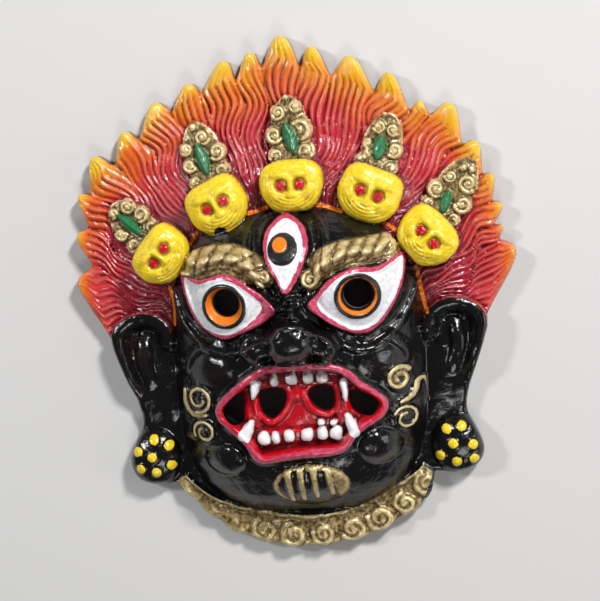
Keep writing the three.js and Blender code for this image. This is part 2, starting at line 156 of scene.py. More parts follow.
# The five skulls: place, turn in degrees and size. The finial above each has a length and a lean, its
# scrolls as across, up, radius and winding in millimetres from the top of the skull, and a gem as
# across, up, half width, half length and lean.
SKULLS = [
    {
        "at": (-38.0, 92.5), "turn": 52, "width": 18.0, "height": 14.6, "finial": 17, "lean": 46,
        "scrolls": [
            (-4.2, 3.6, 2.5, 1), (4.0, 3.0, 2.3, -1), (-4.4, 8.6, 2.3, -1), (4.2, 8.0, 2.9, 1),
            (3.2, 12.6, 2.6, -1), (-1.2, 14.4, 1.8, 1),
        ],
        "gem": (-0.3, 8.4, 1.7, 5.2, 4),
    },
    {
        "at": (-20.5, 106.2), "turn": 26, "width": 18.0, "height": 16.0, "finial": 20, "lean": 16,
        "scrolls": [
            (-4.4, 2.6, 2.2, 1), (4.4, 3.4, 2.6, -1), (-4.6, 7.8, 2.4, -1), (4.3, 9.2, 3.0, 1),
            (-4.2, 12.8, 2.2, 1), (1.6, 14.6, 2.7, -1), (-0.2, 18.4, 1.2, 1),
        ],
        "gem": (-0.4, 8.6, 1.9, 5.2, 4),
    },
    {
        "at": (1.5, 110.7), "turn": 2, "width": 18.6, "height": 15.4, "finial": 21, "lean": 1,
        "scrolls": [
            (-4.4, 3.6, 2.4, 1), (4.5, 4.2, 3.0, -1), (-4.4, 9.4, 2.9, -1), (2.9, 10.6, 4.2, 1),
            (-2.9, 15.9, 2.5, 1), (2.2, 17.4, 2.1, -1), (-0.4, 20.2, 0.9, 1),
        ],
        "gem": (0.2, 8.3, 2.1, 5.1, 16),
    },
    {
        "at": (24.0, 107.0), "turn": -24, "width": 18.8, "height": 16.0, "finial": 18.5, "lean": -17,
        "scrolls": [
            (-4.6, 2.8, 2.3, 1), (4.3, 2.6, 2.2, -1), (-4.0, 8.2, 1.8, -1), (4.0, 7.9, 2.7, 1),
            (-1.9, 13.6, 2.2, 1), (2.2, 13.6, 2.2, -1), (-3.4, 5.6, 1.7, 1),
        ],
        "gem": (-0.4, 7.7, 2.1, 3.9, 0),
    },
    {
        "at": (40.0, 93.5), "turn": -50, "width": 18.2, "height": 15.2, "finial": 21, "lean": -33,
        "scrolls": [
            (-4.6, 3.0, 2.3, 1), (4.4, 2.6, 2.2, -1), (-4.4, 7.8, 3.0, -1), (4.6, 7.6, 3.0, 1),
            (-2.6, 13.0, 2.1, 1), (2.8, 13.6, 3.2, -1), (-0.6, 17.2, 1.1, 1), (1.8, 17.9, 1.1, -1),
        ],
        "gem": (-0.2, 5.8, 1.6, 3.6, 12),
    },
]
FINIAL_OVERLAP = 2.0
SKULL_HEIGHT = 5.2
SKULL_STAND = 2.5
# How far from its skull's middle a finial, and how far a skull itself, can reach.
FINIAL_SPAN = 36
SKULL_SPAN = 14
# The eye sockets, as shares of half the width and half the height of a skull, and the beads in them.
EYE_SPACING = 0.3
EYE_UP = 0.04
BEAD_RADIUS = 1.45

# The eyes: the middle and height of each bulge, the edge of the lid and the outline of the white.
EYES = [
    {
        "middle": (-19, 77.6), "bulge": 2.6,
        "rim": [
            (-32.3, 86.8), (-26.5, 85.4), (-18, 87), (-11.5, 83.5), (-4.3, 77), (-6.8, 73.2), (-13.5, 70),
            (-20.5, 67.9), (-28, 72.6), (-31.2, 79.5),
        ],
        "white": [
            (-31.4, 85.7), (-26.8, 84.2), (-21.2, 85.6), (-16.4, 84.9), (-11.6, 81.7), (-7.8, 77.3),
            (-12, 72.4), (-18.7, 69.2), (-25.5, 71.3), (-29.7, 78),
        ],
    },
    {
        "middle": (19.6, 78.6), "bulge": 2.6,
        "rim": [
            (33.2, 89.8), (25.5, 86.6), (18.5, 86.9), (11.5, 83.8), (8.2, 80.2), (5.4, 77), (8.8, 73.2),
            (14, 69.6), (19.5, 67.5), (25, 69.5), (29.8, 75.4), (32.6, 82),
        ],
        "white": [
            (32.6, 88.6), (29.7, 87.3), (25.2, 85.3), (18.7, 85.6), (14.2, 84.2), (9.5, 79.9),
            (8.1, 76.4), (13.8, 71.1), (19, 68.7), (24.4, 70.4), (29.4, 76.4), (32.4, 83.6),
        ],
    },
    {
        "middle": (-0.5, 92.5), "bulge": 2,
        "rim": [
            (-0.3, 103), (-4.6, 100.4), (-6.6, 96.6), (-6.2, 90.4), (-3.4, 85), (-0.9, 80.8), (2, 83.4),
            (4.6, 88.4), (6.2, 94.2), (4.6, 99.6),
        ],
        "white": [
            (-0.4, 101.6), (-3.8, 99.4), (-5.3, 96.4), (-5.4, 91.6), (-3.2, 86.4), (-0.8, 82.1),
            (2.2, 86.4), (4.1, 90.6), (4.8, 94.2), (3.2, 99.4),
        ],
    },
]
# The black disc in the third eye, and the orange dot on it.
THIRD_DISC = {"at": (-1.1, 93.3), "radius": 4.3}
THIRD_DOT = {"at": (-1.8, 94.6), "radius": 2.1}

# The mouth: its outer edge, the edge of the red paint, and the holes.
MOUTH = [
    (-24.2, 46.8), (-22.4, 49.8), (-17, 54.6), (-12.1, 58), (-8.3, 59.8), (0, 60.1), (8, 59.9),
    (13, 58.8), (17, 56.2), (19.6, 53.2), (24, 50), (26.3, 46.6), (25, 42.8), (20.5, 40.2), (16.8, 37.6),
    (13.6, 33.8), (10, 32.3), (-1, 31.7), (-12, 30.8), (-16.4, 36.7), (-20, 40.6), (-23.4, 43.5),
]
MOUTH_RED = [
    (-22.5, 47), (-18.1, 51.6), (-14.2, 55.2), (-9, 57.2), (0, 57.9), (8, 57.4), (13.4, 56.2),
    (16.3, 53.6), (21.4, 50.3), (24.5, 47.6), (24.8, 44.6), (22.5, 42.4), (17.8, 40.8), (15.2, 37.8),
    (11.8, 34.6), (3, 34.2), (-5.8, 32.9), (-10.9, 32.4), (-15.5, 37.8), (-19.9, 41.6), (-22.7, 44.6),
]
MOUTH_HOLES = [
    [(-22.3, 46), (-19.4, 50), (-16.3, 51.3), (-16.3, 43), (-19.8, 42.4)],
    [(-10.8, 51.4), (-7, 52.6), (-3.4, 51.6), (-3.8, 47), (-7.8, 43), (-10.8, 45.6)],
    [(3.2, 50.8), (6.6, 52.9), (10.6, 51.6), (10.7, 46.6), (8.2, 44.6), (4.4, 46.8)],
    [(15.5, 50.2), (18.6, 50), (23.3, 46.8), (22, 43.2), (18, 42.9), (15.6, 45.6)],
]
# Each pupil: the middle of the drilled hole, the middle of the coned iris round it, and how far out
# from the hole's middle the cone is painted black, as painted shadow inside the hole.
PUPILS = [
    {"hole": (-18.5, 78.6), "iris": (-19.0, 77.7), "dark": 4.15},
    {"hole": (19.6, 79.1), "iris": (19.6, 78.7), "dark": 4.85},
]
HOLE_RADIUS = 4.15
IRIS_RADIUS = 5.5
RING_RADIUS = 6.7
IRIS_DEPTH = 2.4

# Brows: the line along the middle of each, from the curl by the nose outwards, its half width, the
# number and slant of its lobes, and the middle of the curl.
LEFT_BROW = {
    "line": [(-7.6, 84.6), (-11.2, 88.6), (-16, 90.9), (-22, 91), (-27.6, 89.6), (-31.2, 88.2)],
    "width": 4.3, "lobes": 6, "slant": 1.2, "curl": (-6.9, 85.6),
}
RIGHT_BROW = {
    "line": [(7.6, 84.2), (10.6, 88.8), (15.6, 90.6), (22, 91.2), (28, 91.9), (32.8, 92.4)],
    "width": 4.0, "lobes": 7, "slant": -1.3, "curl": (6.5, 84.3),
}
BROW_CURL_RADIUS = 3.1
BROW_CURL_HEIGHT = 3.4

# Folds in the black face: raised lines beside the nose and over the cheeks.
FOLDS = [
    [(4.4, 80), (8.6, 73.6), (12.6, 69), (16.6, 64.4), (19, 60.5)],
    [(-4.8, 79), (-8.8, 73.2), (-13, 69.2), (-17, 64.2), (-19.4, 60)],
    [(17.6, 64.2), (23.8, 66.7), (28.9, 65.3), (32.9, 61.1), (34.6, 56.6)],
    [(-18, 63.6), (-24, 66), (-29.5, 64.4), (-33.2, 60), (-35, 55)],
]
FOLD_HEIGHT = 1.3

# Bosses of the nose, the cheeks and the lumps beside the chin: middle, half width and half height.
NOSE_BALL = (-0.6, 65.8, 10, 7.2)
NOSE_WINGS = [(-9.6, 64.6, 6.0, 5.2), (8.4, 64.6, 6.0, 5.2)]
NOSTRILS = [(-7.4, 61.6, 2.8, 1.7), (6.2, 61.6, 2.8, 1.7)]
CHEEKS = [(-26, 59, 8.5, 6.5), (25.5, 59.5, 8.5, 6.5)]
CHEEK_HEIGHT = 2.2
LUMPS = [(-23.0, 31.1, 6.6, 5.2), (23.5, 33.2, 6.6, 5.6)]
LUMP_HEIGHT = 2.8
WRINKLE_STEP = 2.5
NOSE_RIMS = [
    [(2.8, 69.8), (8.5, 68.7), (11.2, 65.2), (12.2, 61.2)],
    [(-14.1, 61.6), (-14.5, 66.2), (-12.4, 68.9), (-5.1, 69.8)],
]

# Scrolls on the cheeks: middle, radius, way they wind, and how wide and how far round they are gilt.
SCROLLS = [
    {"at": (-29.8, 49.6), "radius": 4.9, "wind": 1, "start": 250, "gilt": 0.42, "turns": 1.3},
    {"at": (-28.6, 39.5), "radius": 4.3, "wind": -1, "start": 150, "gilt": 0.42, "turns": 1.3},
    {"at": (30.0, 52.9), "radius": 4.2, "wind": 1, "start": 30, "gilt": 0.75, "turns": 1.7},
    {"at": (31.4, 40.7), "radius": 4.4, "wind": -1, "start": 200, "gilt": 0.36, "turns": 1.25},
]
LEAVES = [
    [(-34.6, 52.2), (-34.4, 47.6), (-32.1, 44.8), (-27.6, 44.6)],
    [(29.9, 45.6), (32.8, 46.7), (34.6, 48.8), (35.4, 51.2), (37.4, 51.6)],
    [(37.0, 51.6), (38.3, 49.4), (38.5, 45.4), (37.8, 42.6)],
]
# The patch of beard on the chin, the millimetres between its middle and its edge that its paint is
# measured in, and its locks from end to end.
CHIN = {"x": 2.2, "y": 22.2, "half_width": 11.4, "half_height": 7.2, "lift": 3.2}
CHIN_EDGE = 8
CHIN_LOCKS = [
    (-4.4, 27.1, -3.6, 17.4), (-0.6, 27.4, -0.1, 17.9), (3.2, 27.9, 3.9, 18.7), (7.4, 27.6, 8.5, 19.6),
]

LIP_HEIGHT = 2.4
MOUTH_DEPTH = 5.0

# Teeth: middle, width, length and lean in degrees. The long ones are fangs.
TEETH = [
    (-6.4, 54.9, 2.3, 3.8, 0), (-1.3, 55.2, 3.4, 3.7, 0), (3.5, 55.4, 3.2, 3.6, 0),
    (7.6, 55.2, 3.5, 3.6, 0), (-10.6, 37.5, 3.8, 4.0, 12), (-7.1, 37.7, 2.3, 3.6, 8),
    (-3.1, 38.1, 3.1, 3.8, 0), (2.1, 38.2, 3.6, 3.8, 0), (6.7, 38.5, 3.0, 4.2, 0),
    (10.7, 38.3, 3.7, 4.2, -8), (6.6, 41.7, 2.1, 1.7, 0), (10.2, 41.5, 2.2, 1.5, 20),
    (-12.2, 52.5, 3.4, 6.4, -15), (14.0, 51.4, 2.6, 7.0, 3), (-15.0, 40.6, 4.0, 6.6, -28),
    (15.3, 40.8, 3.9, 6.8, 24),
]
FANG_LENGTH = 5.0
TOOTH_ROUND = 2.4
MOUTH_MIDDLE_Y = 47

# The ear on the right: its outer edge with the earring below, the rim from the temple over the top
# and down, and the fold inside it. The earring and the hollow have a middle and half sizes.
EAR_EDGE = [
    (33, 78), (42, 77), (52, 74), (56.8, 69), (55.4, 62), (52.8, 54.5), (50, 46), (49.5, 40), (52, 34.5),
    (54, 28.5), (51.8, 23.5), (45, 21.5), (38, 22), (33, 22),
]
EAR_RIM = [
    (38.6, 66), (40.2, 70.6), (44, 73.2), (49, 73.2), (54, 70.4), (55.2, 65.4), (53.4, 58), (50.9, 51),
    (48, 44),
]
EAR_FOLD = [(42.6, 66.5), (46.4, 66), (47.8, 60), (45.6, 53), (43.4, 46)]
EARRING = (46.2, 30.2, 8.2, 9.4)
EAR_HOLLOW = (44.5, 50, 8, 14)
LEFT_DOTS = [
    (-45.6, 36.2), (-41.2, 34.2), (-50.8, 32.7), (-46.3, 31), (-40.8, 28.2), (-50.2, 27.4), (-45.4, 26.2),
]
RIGHT_DOTS = [
    (42.9, 35.5), (47.4, 36.2), (44.6, 31.2), (50.6, 30.6), (40.6, 27.4), (45.5, 25.6), (50.7, 26.2),
]
DOT_RADIUS = 1.45

# The beard: an oval band between two angles in half turns, with the inner edges of its plate and of
# its relief as shares of the oval.
BEARD = {
    "x": 0.6, "y": 48, "half_width": 51.8, "half_height": 48,
    "inner": 0.72, "top": 0.785, "from": 1.19, "to": 1.796, "curls": 10,
}
BEARD_SCALLOP = 0.7
SCALLOP_STEPS = 14
BEARD_CURL_HEIGHT = 2.1
CURL_REACH = (0.925, 0.915)

# Thin painted lines: the garland between the skulls, and the strokes at the temples.
GARLAND = [
    [(-33.4, 91.8), (-30.4, 94.6), (-27.6, 98.6)],
    [(-14.6, 102.8), (-10.6, 103.6), (-6.6, 104.8)],
    [(7.6, 104.6), (11, 104.2), (15.6, 102.4)],
    [(27.2, 98.6), (30.2, 96.8), (33.4, 93.2)],
    [(-37.1, 82.7), (-36.4, 76.6), (-36.9, 71)],
    [(36.6, 84.4), (37.6, 78), (38.9, 70.9)],
]
GARLAND_WIDTH = 0.55
# A spot on the second skull from the left where the yellow is gone.
BARE_SPOT = {"at": (-19.7, 98.2), "radius": 2.0}

# The painted areas, and what the values are on the back where they aren't paint distances.
PAINTS = ("blaze", "gold", "gem", "yellow", "pink", "white", "ring", "red", "tooth", "orange")
BEHIND = {"back": 1.0, "warmth": 0.0, "strand": 0.0, "crest": 0.0}

# Colours, as linear red, green and blue. Most paints are a pair that noise blends.
BLACKS = (0.004, 0.004, 0.004), (0.016, 0.007, 0.006)
YELLOWS = (0.76, 0.50, 0.012), (0.90, 0.68, 0.03)
PINKS = (0.44, 0.032, 0.08), (0.62, 0.08, 0.16)
WHITES = (0.62, 0.62, 0.65), (0.80, 0.81, 0.82)
# A lit red and its painted shade for the depths of the mouth and the beads.
RED_AND_ITS_SHADE = (0.54, 0.004, 0.013), (0.08, 0.002, 0.004)
GREENS = (0.004, 0.10, 0.03), (0.008, 0.19, 0.055)
# A lit tooth grey and its painted shade for the teeth's hollows.
TOOTH_GREY_AND_ITS_SHADE = (0.80, 0.80, 0.80), (0.4, 0.38, 0.4)
METAL_GREYS = (0.10, 0.10, 0.10), (0.22, 0.22, 0.22)
FLOOR_GREY = (0.62, 0.61, 0.60)
RING_BLACK = (0.006, 0.006, 0.007)
ORANGE = (0.85, 0.20, 0.006)
# Painted light: dark crimson is painted shade in the flames' grooves, peach a painted highlight on their
# crests, brown painted shade in the hollows of the yellow.
GROOVE_SHADE_CRIMSON = (0.11, 0.008, 0.018)
CREST_HIGHLIGHT_PEACH = (0.9, 0.5, 0.3)
HOLLOW_SHADE_BROWN = (0.30, 0.17, 0.012)
OLIVE = (0.15, 0.12, 0.03)
GREY = (0.10, 0.11, 0.11)
FLAME_COLOURS = [
    (0.0, (0.16, 0.003, 0.014)),
    (0.2, (0.40, 0.009, 0.036)),
    (0.45, (0.56, 0.028, 0.034)),
    (0.58, (0.66, 0.10, 0.010)),
    (0.70, (0.70, 0.24, 0.004)),
    (0.88, (0.76, 0.48, 0.006)),
]
# Gold from dark to pale: the crest value picks pale as a painted highlight and dark as painted shade,
# with random wear.
GOLD_COLOURS = [
    (0.08, (0.07, 0.046, 0.016)),
    (0.3, (0.27, 0.185, 0.072)),
    (0.65, (0.52, 0.39, 0.165)),
    (1.0, (0.76, 0.62, 0.34)),
]
# How far the edges of the paint wander, in millimetres, and how much the colour of the flames varies.
EDGE_WOBBLE = 0.7
FIRE_UNEVENNESS = 0.35

# Floor, camera and lights, in metres and pixels of the photo
FLOOR_SIZE = 6.0
CAMERA_DISTANCE = 0.450
CAMERA_YAW = math.radians(5.0)
CAMERA_PITCH = math.radians(6.0)
CAMERA_ROLL = math.radians(3.6)
PHOTO_WIDTH = 600
FOCAL_PIXELS = 1483.5
AIM_SHIFT = (3.0, -6.5)
SENSOR = 36.0
# Each light: name, place, size, power and colour.
LIGHTS = [
    ("key", (0.42, 0.58, 0.60), 0.13, 8.6, (1, 1, 1)),
    ("window", (-0.60, 0.30, 0.55), 0.10, 3.0, (0.95, 0.97, 1)),
    ("fill", (0.15, -0.65, 0.75), 0.30, 2.0, (1, 1, 1)),
    ("side", (0.80, -0.10, 0.34), 0.36, 1.5, (1, 1, 1)),
]
WORLD_STRENGTH = 0.08

# Small helpers


def mix(a, b, t):
    return a + (b - a) * t


def smoothstep(low, high, v):
    t = np.clip((v - low) / (high - low), 0, 1)
    return t * t * (3 - 2 * t)


def boss(x, y, cx, cy, half_x, half_y, power=1.0):
    """A round boss, 1 in the middle and 0 from the edge of the ellipse outwards."""
    return np.maximum(0, 1 - ((x - cx) / half_x) ** 2 - ((y - cy) / half_y) ** 2) ** power


def ridge(distance, half_width):
    """A soft ridge across a distance, 1 on the line and 0 at its half width."""
    return np.maximum(0, 1 - (distance / half_width) ** 2)


def distance_to(place, x, y):
    """Distance to a place."""
    return np.hypot(x - place[0], y - place[1])


def rounded_square(a, b, power):
    """1 on the edge of a square with rounded corners that reaches 1 each way, 0 in its middle."""
    return (np.abs(a) ** power + np.abs(b) ** power) ** (1 / power)


def far_away(x):
    """A field of distances with nothing near yet."""
    return np.full(np.shape(x), FAR)


def spline(points, closed=True, steps=8):
    """Points on a smooth curve through the given ones."""
    p = np.array(points, float)
    if closed:
        p = np.vstack([p[-1:], p, p[:2]])
    else:
        p = np.vstack([2 * p[:1] - p[1:2], p, 2 * p[-1:] - p[-2:-1]])
    t = np.linspace(0, 1, steps, endpoint=False)[:, None]
    out = []
    for a, b, c, d in zip(p, p[1:], p[2:], p[3:]):
        square = (2 * a - 5 * b + 4 * c - d) * t**2
        cube = (3 * b - a - 3 * c + d) * t**3
        out.append(0.5 * (2 * b + (c - a) * t + square + cube))
    if not closed:
        out.append(p[-2:-1])
    return np.vstack(out)


def line_distance(points, x, y):
    """Distance to an open line, and the fraction of the way along it of the nearest place."""
    points = np.array(points, float)
    best = far_away(x)
    along = np.zeros(np.shape(x))
    lengths = np.hypot(*(points[1:] - points[:-1]).T)
    starts = np.concatenate([[0], np.cumsum(lengths)])
    for a, b, length, start in zip(points, points[1:], lengths, starts):
        e = b - a
        t = np.clip(((x - a[0]) * e[0] + (y - a[1]) * e[1]) / (e @ e), 0, 1)
        d = np.hypot(x - a[0] - e[0] * t, y - a[1] - e[1] * t)
        nearer = d < best
        best = np.where(nearer, d, best)
        along = np.where(nearer, start + length * t, along)
    return best, along / starts[-1]


def signed_distance(points, x, y):
    """Distance to a closed outline, negative inside."""
    points = np.array(points, float)
    best = np.full(np.shape(x), FAR**2)
    inside = np.zeros(np.shape(x), bool)
    for a, b in zip(points, np.roll(points, -1, 0)):
        ex, ey = b - a
        t = np.clip(((x - a[0]) * ex + (y - a[1]) * ey) / (ex * ex + ey * ey), 0, 1)
        best = np.minimum(best, (x - a[0] - ex * t) ** 2 + (y - a[1] - ey * t) ** 2)
        if ey != 0:
            inside ^= ((a[1] > y) != (b[1] > y)) & (x < a[0] + (ex * (y - a[1])) / ey)
    return np.where(inside, -1, 1) * np.sqrt(best)


def shape_distance(shape, x, y):
    """Distance to a smooth closed outline through the given points, negative inside."""
    return signed_distance(spline(shape), x, y)


def stroke_distance(line, x, y):
    """Distance to a smooth open line through the given points, and how far along it the place lies."""
    return line_distance(spline(line, closed=False), x, y)


def faded(along, first, last):
    """Rises from 0 to 1 up to the first place along a line, and falls to 0 from the last one on."""
    return smoothstep(0, first, along) * smoothstep(1, last, along)


def lumps(x, y, size, seed):
    """Smooth uneven lumps from -1 to 1, about the given size across."""
    cells = 257
    table = np.random.default_rng(seed).uniform(-1, 1, (cells, cells))
    gx = x / size + cells / 2
    gy = y / size + cells / 4
    ix = np.floor(gx).astype(int)
    iy = np.floor(gy).astype(int)
    fx = smoothstep(0, 1, gx - ix)
    fy = smoothstep(0, 1, gy - iy)
    low = mix(table[iy % cells, ix % cells], table[iy % cells, (ix + 1) % cells], fx)
    high = mix(table[(iy + 1) % cells, ix % cells], table[(iy + 1) % cells, (ix + 1) % cells], fx)
    return mix(low, high, fy)


def turned(x, y, cx, cy, degrees):
    """Places seen from a frame at (cx, cy) turned by the given angle."""
    c = math.cos(math.radians(degrees))
    s = math.sin(math.radians(degrees))
    return (x - cx) * c + (y - cy) * s, -(x - cx) * s + (y - cy) * c


def winding(x, y, cx, cy, radius, wind, start):
    """How far out from the middle of a scroll a place lies, and the turn from the scroll's start."""
    angle = np.arctan2(y - cy, x - cx) * wind - np.radians(start)
    return distance_to((cx, cy), x, y) / radius, np.mod(angle / (2 * math.pi), 1)


def scroll_relief(x, y, cx, cy, radius, wind, start):
    """A round scroll: a thick band that winds once and a half into a ball, from 0 to about 1."""
    rho, turn = winding(x, y, cx, cy, radius, wind, start)
    band = np.zeros(np.shape(x))
    for lap in (0, 1):
        middle = 0.8 - 0.44 * (turn + lap)
        band = np.maximum(band, ridge(rho - middle, 0.24) * (middle > 0.15))
    ball = boss(rho, 0 * rho, 0, 0, 0.34, 1, 0.5)
    return 0.45 * ridge(rho, 1) ** 0.4 + 0.55 * np.maximum(band**0.7, ball) * (rho < 1.05)


def placed(name, data):
    """An object with the given data, in the scene."""
    obj = bpy.data.objects.new(name, data)
    bpy.context.collection.objects.link(obj)
    return obj


# The outline seen from the front


def face_reach(x, y, inset=0.0):
    """How far a point is out from the middle of the face, 1 on its edge drawn in by the inset."""
    along = (y - FACE_CENTRE_Y) / (FACE_HALF_HEIGHT - inset)
    return rounded_square(x / (FACE_HALF_WIDTH - inset), along, FACE_POWER)


def face_ring(angle, inset=0.0, grow=1.0):
    """Places round the face, on its edge drawn in by the inset and then scaled."""
    c = np.cos(angle)
    s = np.sin(angle)
    size = rounded_square(c, s, FACE_POWER)
    px = c / size * (FACE_HALF_WIDTH - inset) * grow
    py = FACE_CENTRE_Y + s / size * (FACE_HALF_HEIGHT - inset) * grow
    return np.stack([px, py], -1)


def face_edge(fraction):
    """Where a fraction of the way round the top of the face lies, from the left ear to the right."""
    return face_ring(math.pi * mix(*CROWN_FAN, np.asarray(fraction, float)))


def valleys(index):
    """The valleys on the left and right of a tongue."""
    left = TONGUES[index - 1][1] if index else CROWN_START
    return np.array(left, float), np.array(TONGUES[index][1], float)


def tongue_side(root, valley, tip, hand, t):
    """One side of a tongue: straight from the face's edge to the valley, then bowed to the round tip."""
    t = t[..., None]
    low = mix(root, valley, t / VALLEY_AT)
    k = np.clip((t - VALLEY_AT) / (1 - VALLEY_AT), 0, 1)
    d = tip - valley
    normal = np.array([-d[1], d[0]]) * hand * min(TIP_BOW, MOST_BOW / math.hypot(*d))
    high = valley + d * k + normal * BOW_PEAK * k**1.6 * np.sqrt(1 - k)
    return np.where(t < VALLEY_AT, low, high)


def tongue_point(index, s, t):
    """A place on a tongue, s across it from 0 to 1 and t from the face's edge to the tip."""
    tip = np.array(TONGUES[index][0], float)
    left_valley, right_valley = valleys(index)
    count = len(TONGUES)
    left = tongue_side(face_edge(index / count), left_valley, tip, 1, t)
    right = tongue_side(face_edge((index + 1) / count), right_valley, tip, -1, t)
    base = mix(left_valley, right_valley, s[..., None]) - face_edge((index + s) / count)
    flow = base / np.linalg.norm(base, axis=-1, keepdims=True)
    side = np.stack([flow[..., 1], -flow[..., 0]], -1)
    return mix(left, right, s[..., None]) + side * sway(index + s, t)[..., None]


def sway(u, t):
    """How far the strands swing sideways on their way up, the two halves of the crown mirrored."""
    hand = np.tanh((u - len(TONGUES) / 2) / 1.5)
    swing = hand * np.sin(t * 12.5 + 0.6) + 0.35 * np.sin(t * 23 + u * 2.1)
    return -SWAY * swing * smoothstep(0, 0.12, t) * smoothstep(VALLEY_AT + 0.04, VALLEY_AT - 0.18, t)


def crown_outline():
    """The crown's outline: up one side of each tongue and down the other, closed across the face."""
    points = []
    t = mix(VALLEY_AT, 1, np.linspace(0, 1, TIP_POINTS) ** 0.6)
    for index, (tip, _) in enumerate(TONGUES):
        left, right = valleys(index)
        tip = np.array(tip, float)
        points.append(tongue_side(left, left, tip, 1, t)[:-1])
        points.append(tongue_side(right, right, tip, -1, t)[::-1][:-1])
    points.append(np.array([TONGUES[-1][1]], float))
    return np.vstack(points)


def beard_place(x, y):
    """u along the beard from left to right, and v across it from the face to its outer edge."""
    ax = (x - BEARD["x"]) / BEARD["half_width"]
    ay = (y - BEARD["y"]) / BEARD["half_height"]
    angle = np.mod(np.arctan2(ay, ax), 2 * math.pi) / math.pi
    u = (angle - BEARD["from"]) / (BEARD["to"] - BEARD["from"])
    inner = BEARD["top"] + 0.09 * smoothstep(-8, -38, x) + 0.045 * smoothstep(24, 36, x)
    return u, (np.hypot(ax, ay) - inner) / (beard_taper(u) - inner)


def beard_taper(u):
    """The beard's outer edge draws in a little towards both ends."""
    return 1 - 0.04 * smoothstep(0.3, 0.05, u) - 0.065 * smoothstep(0.9, 1, u)


def beard_point(u, grow_x, grow_y):
    """The x and y of a place u along the beard, on its oval scaled each way."""
    angle = math.pi * mix(BEARD["from"], BEARD["to"], u)
    px = BEARD["x"] + BEARD["half_width"] * grow_x * np.cos(angle)
    return px, BEARD["y"] + BEARD["half_height"] * grow_y * np.sin(angle)


def beard_outline():
    """The beard trim: a band under the face with shallow scallops along its outer edge."""
    u = np.linspace(0, 1, BEARD["curls"] * SCALLOP_STEPS + 1)
    wave = np.abs(np.sin(math.pi * BEARD["curls"] * u))
    grow = beard_taper(u) + BEARD_SCALLOP * (wave - 1) / BEARD["half_height"]
    outer = np.stack(beard_point(u, grow, grow), -1)
    inner = np.stack(beard_point(u, BEARD["inner"], BEARD["inner"]), -1)
    return np.vstack([outer, inner[::-1]])


def mirrored(points):
    return [(-x, y) for x, y in points]


def outline_distance(x, y):
    """Distance to the mask's outer edge, negative inside it."""
    d = signed_distance(crown_outline(), x, y)
    d = np.minimum(d, (face_reach(x, y) - 1) * FACE_HALF_WIDTH)
    for side in (EAR_EDGE, mirrored(EAR_EDGE)):
        d = np.minimum(d, shape_distance(side, x, y))
    return np.minimum(d, signed_distance(beard_outline(), x, y))


def hole_distance(x, y):
    """Distance to the nearest hole through the mask, negative inside a hole."""
    d = far_away(x)
    for pupil in PUPILS:
        d = np.minimum(d, distance_to(pupil["hole"], x, y) - HOLE_RADIUS)
    for points in MOUTH_HOLES:
        d = np.minimum(d, shape_distance(points, x, y))
    return d


# Heights of the front


def plate_height(x, y):
    """The plate that carries everything: flat at the tips, rising to the forehead."""
    out = np.maximum(0, face_reach(x, y) - 1) / ROOT_FADE
    return PLATE + ROOT_RISE * smoothstep(*ROOT_Y, y) * np.exp(-out * out)


def dome_height(x, y):
    """The bare dome of the face, without its features."""
    reach = np.minimum(1, face_reach(x, y))
    return plate_height(x, y) + DOME_HEIGHT * (1 - reach**DOME_FLATNESS) ** DOME_ROUNDNESS


def crown_places(x, y):
    """For each point of the crown: its tongue, s across and t along it.

    The nearest point of a lattice gives a first guess, and a few steps along the slopes refine it.
    """
    s, t = np.meshgrid(np.linspace(0.02, 0.98, LATTICE[0]), np.linspace(-0.06, 0.995, LATTICE[1]))
    lattice = np.concatenate([tongue_point(i, s.ravel(), t.ravel()) for i in range(len(TONGUES))])
    tree = KDTree(len(lattice))
    for i, (px, py) in enumerate(lattice):
        tree.insert((px, py, 0), i)
    tree.balance()
    found = np.array([tree.find((px, py, 0))[1] for px, py in zip(x, y)])
    index = found // s.size
    across = s.ravel()[found % s.size]
    up = t.ravel()[found % s.size]
    for tongue in range(len(TONGUES)):
        here = index == tongue
        a, b = across[here], up[here]
        for _ in range(REFINEMENTS):
            p = tongue_point(tongue, a, b)
            ds = (tongue_point(tongue, a + NUDGE, b) - p) / NUDGE
            dt = (tongue_point(tongue, a, b + NUDGE) - p) / NUDGE
            rx = x[here] - p[:, 0]
            ry = y[here] - p[:, 1]
            det = ds[:, 0] * dt[:, 1] - ds[:, 1] * dt[:, 0]
            det = np.where(np.abs(det) < 1, np.sign(det + 1e-9), det)
            a = np.clip(a + np.clip((rx * dt[:, 1] - ry * dt[:, 0]) / det, -0.1, 0.1), -0.03, 1.03)
            b = np.clip(b + np.clip((ds[:, 0] * ry - ds[:, 1] * rx) / det, -0.03, 0.03), -0.08, 1.0)
        across[here], up[here] = a, b
    return index, across, up


def strand_counts():
    """How many strands each tongue carries."""
    counts = []
    for index in range(len(TONGUES)):
        left, right = valleys(index)
        counts.append(max(3, round(np.linalg.norm(right - left) / STRAND_WIDTH)))
    return np.array(counts)


